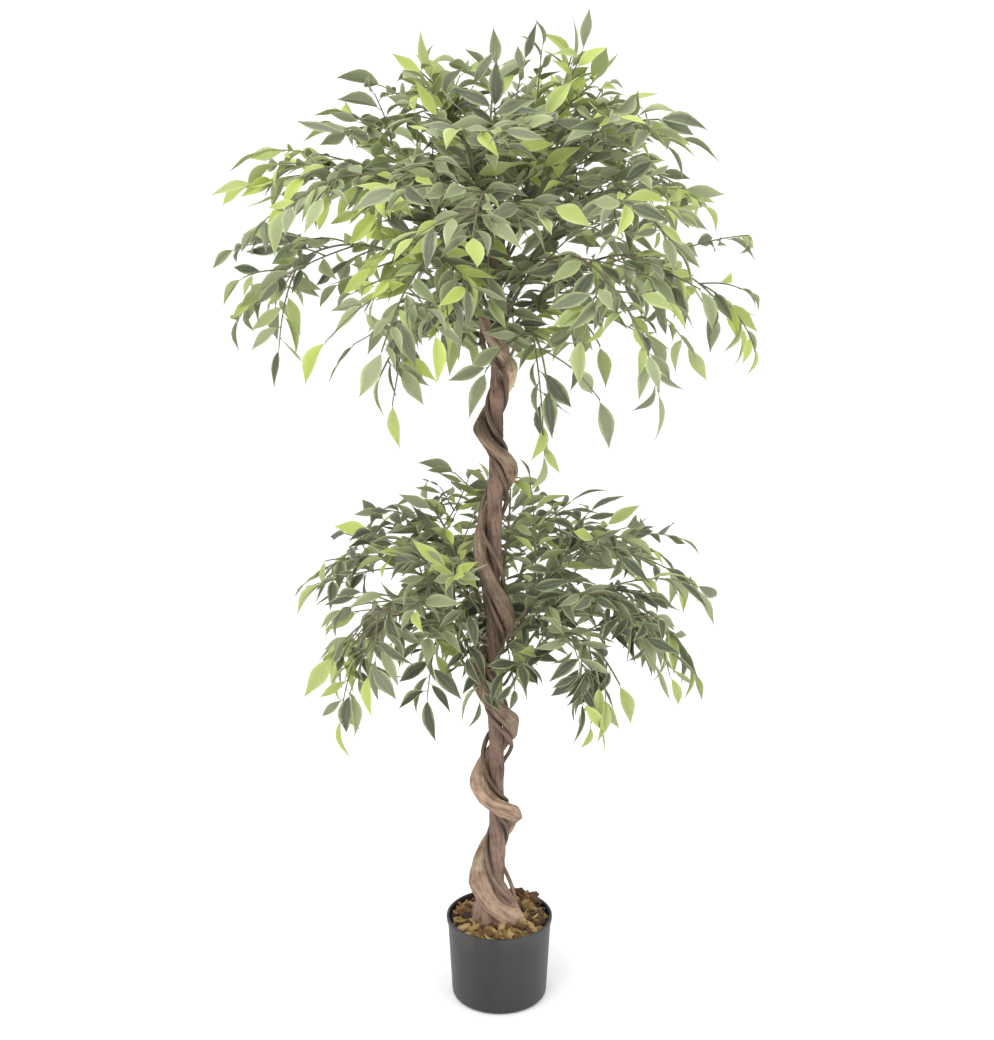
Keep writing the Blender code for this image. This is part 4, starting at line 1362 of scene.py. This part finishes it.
def growSpray(whorl, number):
    # the lines of its twigs, and its leaves: (matrix, length, width, where it is tied on, how far out)
    name = f"{whorl['name']}_{number + 1}"
    hang = whorl["hang"]
    extra = extraShape
    main, smooth, twigs, hand = sprayTwigs(whorl, number)
    draw = random.Random(f"more {name}")
    tree = treeOf(name)
    mainLine = finerLine(smooth)
    startSamples, endSamples, _ = extra["samples"]
    starts = sampled(mainLine, startSamples)
    lines = [mainLine] + [finerLine([nearestOn(starts, points[0])] + points[1:]) for points in twigs]
    ownFrom = len(lines)
    size = min(sum(legsOf(mainLine)) / extra["fullTwigReach"], 1.0)
    for i, share in enumerate(extra["twigShares"]):
        lines.append(extraTwig(draw, mainLine, "twig", share, size, hand * (-1) ** (i + 1), hang))
    share = extra["subTwigShare"]
    for i in (1, 2):
        lines.append(extraTwig(draw, lines[i], "subTwig", share, size, hand * (-1) ** i, hang))
    looseFrom = len(lines)
    lines += [looseTwig(mainLine, *twig) for twig in looseTwigs.get(name, ())]
    leaves = []
    for i, slot in enumerate(leafSlots(whorl, main, twigs, hand)):
        found = cadLeaf(slot, hang, f"{name} {i}", tree)
        if found:
            matrix, length, width = found
            leaves.append((matrix, length, width * extra["cadLeafNarrow"], None, extra["cadLeafOut"]))
            noteLeaf(matrix, length)
    sideOut, sideGain = extra["sideLeafOut"]
    for k, line in enumerate(lines):
        begin = extra["leafFrom"] if k == 0 else extra["sideLeafFrom"]
        last = 0.0
        count = max(int(sum(legsOf(line)) * (1.0 - begin) / extra["leafStep"]), 1)
        for i in range(count + 1):
            share = begin + (1.0 - begin) * i / count
            place, heading = alongRoute(line, min(share, extra["leafTo"]))
            side = 0.0 if i == count and k >= ownFrom else hand * (-1) ** (i + k)
            apart = extra["leafApart"] * (extra["tierApart"] if place.z < extra["border"] else 1.0)
            key = f"more {name} {k} {i}"
            room, *leaf = bestLeaf(draw, (place, heading, side), key, hang, apart, k >= looseFrom)
            if room > apart * extra["enough"]:
                leaves.append((*leaf, place, share if k == 0 else sideOut + share * sideGain))
                noteLeaf(*leaf[:2])
                last = share
        if k >= ownFrom:
            # a twig of the scene's own ends at its last leaf
            lines[k] = sampled(line, endSamples)[:max(round(last * endSamples), 0) + 1]
    lines = [line for line in lines if len(line) > 2]
    return name, lines, leaves, draw


def leafShade(draw, matrix, length, outer, freshness):
    # young leaves come in clusters, and more of them towards the ends of the sprays
    extra = extraShape
    middle = matrix @ Vector((0.0, length * 0.5, 0.0))
    front = middle.y < extra["frontTo"]
    if front and withinAny(youngPlaces, middle):
        chance = extra["youngInPlace"]
    elif front:
        least, gain = extra["youngFront"]
        chance = least + gain * outer
    else:
        least, gain, clusters, fineness = extra["youngBack"]
        cluster = max(noise.noise(matrix.translation * fineness), 0.0)
        chance = least + gain * outer**2 + clusters * cluster
    dark = front and withinAny(darkPlaces, middle)
    young = draw.random() < chance and not dark
    shade = draw.uniform(*extra["youngShades" if young else "oldShades"])
    if dark:
        shade *= extra["darker"]
    if middle.z < extra["border"] and not young:
        shade += extra["tierShade"]
    return min(max(shade + freshness * extra["freshShare"], 0.0), 1.0)


def sprayTube(name, routes, sides, look):
    tube = tubeFrom(name, routes, sides)
    tube.data.uv_layers[0].name = "leafMap"
    dress(tube, look)
    return tube


def makeSpray(name, lines, leaves, draw):
    extra = extraShape
    routes = []
    for k, line in enumerate(lines):
        thick, thin = extra["twigRadii"] if k == 0 else extra["sideRadii"]
        radii = [blend(thick, thin, i / (len(line) - 1)) for i in range(len(line))]
        if k == 0:
            radii[:2] = [radius * swell for radius, swell in zip(radii, extra["footSwell"])]
        routes.append(list(zip(line, radii)))
    pieces = [sprayTube(name, routes, 6, "twig")]
    allPlaces = [place for line in lines for place in sampled(line, extra["samples"][2])]
    radius = extra["stalkRadius"]
    inward, thinner = extra["stalkEnd"]
    stalks = []
    blades = []
    freshness = draw.uniform(*extra["freshness"])
    for matrix, length, width, tie, outer in leaves:
        heading = matrix.col[1].to_3d()
        base = matrix.translation + heading * extra["stalk"]
        root = tie or nearestOn(allPlaces, matrix.translation)
        bend = root.lerp(base, 0.5) - up * extra["stalkBend"]
        stalks.append([(root, radius), (bend, radius), (base + heading * inward, radius * thinner)])
        pattern = leafPatterns[draw.randrange(len(leafPatterns))]
        size = length - extra["stalk"]
        wide = size * width / (2.0 * leafShape["halfWidth"])
        placed = matrix.copy()
        placed.translation = base
        shade = leafShade(draw, matrix, length, outer, freshness)
        blades.append(stamped(pattern, placed @ Matrix.Diagonal((wide, size, size, 1.0)), shade))
    pieces.append(sprayTube(name + "Stalks", stalks, extra["stalkSides"], "stalk"))
    spray = joined("spray_" + name, pieces + blades)
    smoothed(spray, 40.0)
    standsFor(spray, name)
    return spray, len(leaves), sum(leaf[3] is None for leaf in leaves)


leafCount = 0
cadLeafCount = 0
faceCount = 0
for whorl in whorls:
    for number in range(whorl["count"]):
        spray, grown, found = makeSpray(*growSpray(whorl, number))
        leafCount += grown
        cadLeafCount += found
        faceCount += len(spray.data.polygons)
removeAll(leafPatterns)
print("sprays made:", leafCount, "leaves,", cadLeafCount, "of them the CAD model's,", faceCount, "faces")


# stage, light and camera

# a faint glow keeps the shadow round the pot as light as in a studio with a lit floor
stageShape = {
    "width": 10.0, "front": -4.8, "back": 4.8, "height": 5.0, "curve": 1.2,
    "colour": (0.96, 0.96, 0.96, 1.0), "roughness": 0.9, "gloss": 0.1, "glow": 0.1,
}

cameraShape = {
    # 1689 pixels of focal length on an image 1040 high
    "place": (-0.0037, -2.4, 1.46), "downwards": 15.76, "sensor": 36.0, "focal": 1689.0,
    "imageHeight": 1040.0,
}

# place, aim, width and power of each light
lights = {
    "keyLight": ((-1.6, -2.2, 3.2), (0.0, 0.0, 0.9), 2.2, 60.0),
    "fillLight": ((2.2, -1.8, 1.8), (0.0, 0.0, 0.8), 2.0, 28.0),
    "topLight": ((0.0, 0.3, 3.6), (0.0, 0.0, 0.8), 2.6, 35.0),
}
worldLight = {"Color": (1.0, 1.0, 1.0, 1.0), "Strength": 0.85}


def makeStage():
    shape = stageShape
    back = shape["back"]
    deselectAll()
    bpy.ops.mesh.primitive_plane_add(size=1.0)
    floor = bpy.context.active_object
    floor.scale = (shape["width"], back - shape["front"], 1.0)
    floor.location = (0.0, (back + shape["front"]) / 2.0, 0.0)
    settle(floor)
    startEdit(floor)
    pickVerts(lambda place: place.y > back - 0.01)
    extrudeUp(shape["height"])
    roundEdges(lambda place: abs(place.z) < 0.01 and place.y > back - 0.01, shape["curve"], 12)
    endEdit()
    made, _ = newMaterial("paleFloor")
    finished(made, shape["colour"], shape["roughness"], None, shape["gloss"], shape["glow"])
    floor.data.materials.append(made)
    smoothed(floor, 60.0)
    floor.name = "studioFloor"


def areaLight(name, place, aim, width, power):
    data = bpy.data.lights.new(name, "AREA")
    data.size = width
    data.energy = power
    light = bpy.data.objects.new(name, data)
    light.location = place
    light.rotation_euler = (Vector(aim) - Vector(place)).to_track_quat("-Z", "Y").to_euler()
    bpy.context.scene.collection.objects.link(light)


def makeCamera():
    shape = cameraShape
    data = bpy.data.cameras.new("camera")
    data.sensor_width = shape["sensor"]
    data.lens = shape["sensor"] * shape["focal"] / shape["imageHeight"]
    camera = bpy.data.objects.new("camera", data)
    camera.location = shape["place"]
    camera.rotation_euler = (math.radians(90.0 - shape["downwards"]), 0.0, 0.0)
    bpy.context.scene.collection.objects.link(camera)
    bpy.context.scene.camera = camera


makeStage()
for name, light in lights.items():
    areaLight(name, *light)
makeCamera()
world = bpy.data.worlds.new("studioWorld")
bpy.context.scene.world = world
world.use_nodes = True
feed(world.node_tree, world.node_tree.nodes["Background"], worldLight)
bpy.context.scene.view_settings.view_transform = "Standard"
print("stage, light and camera made")
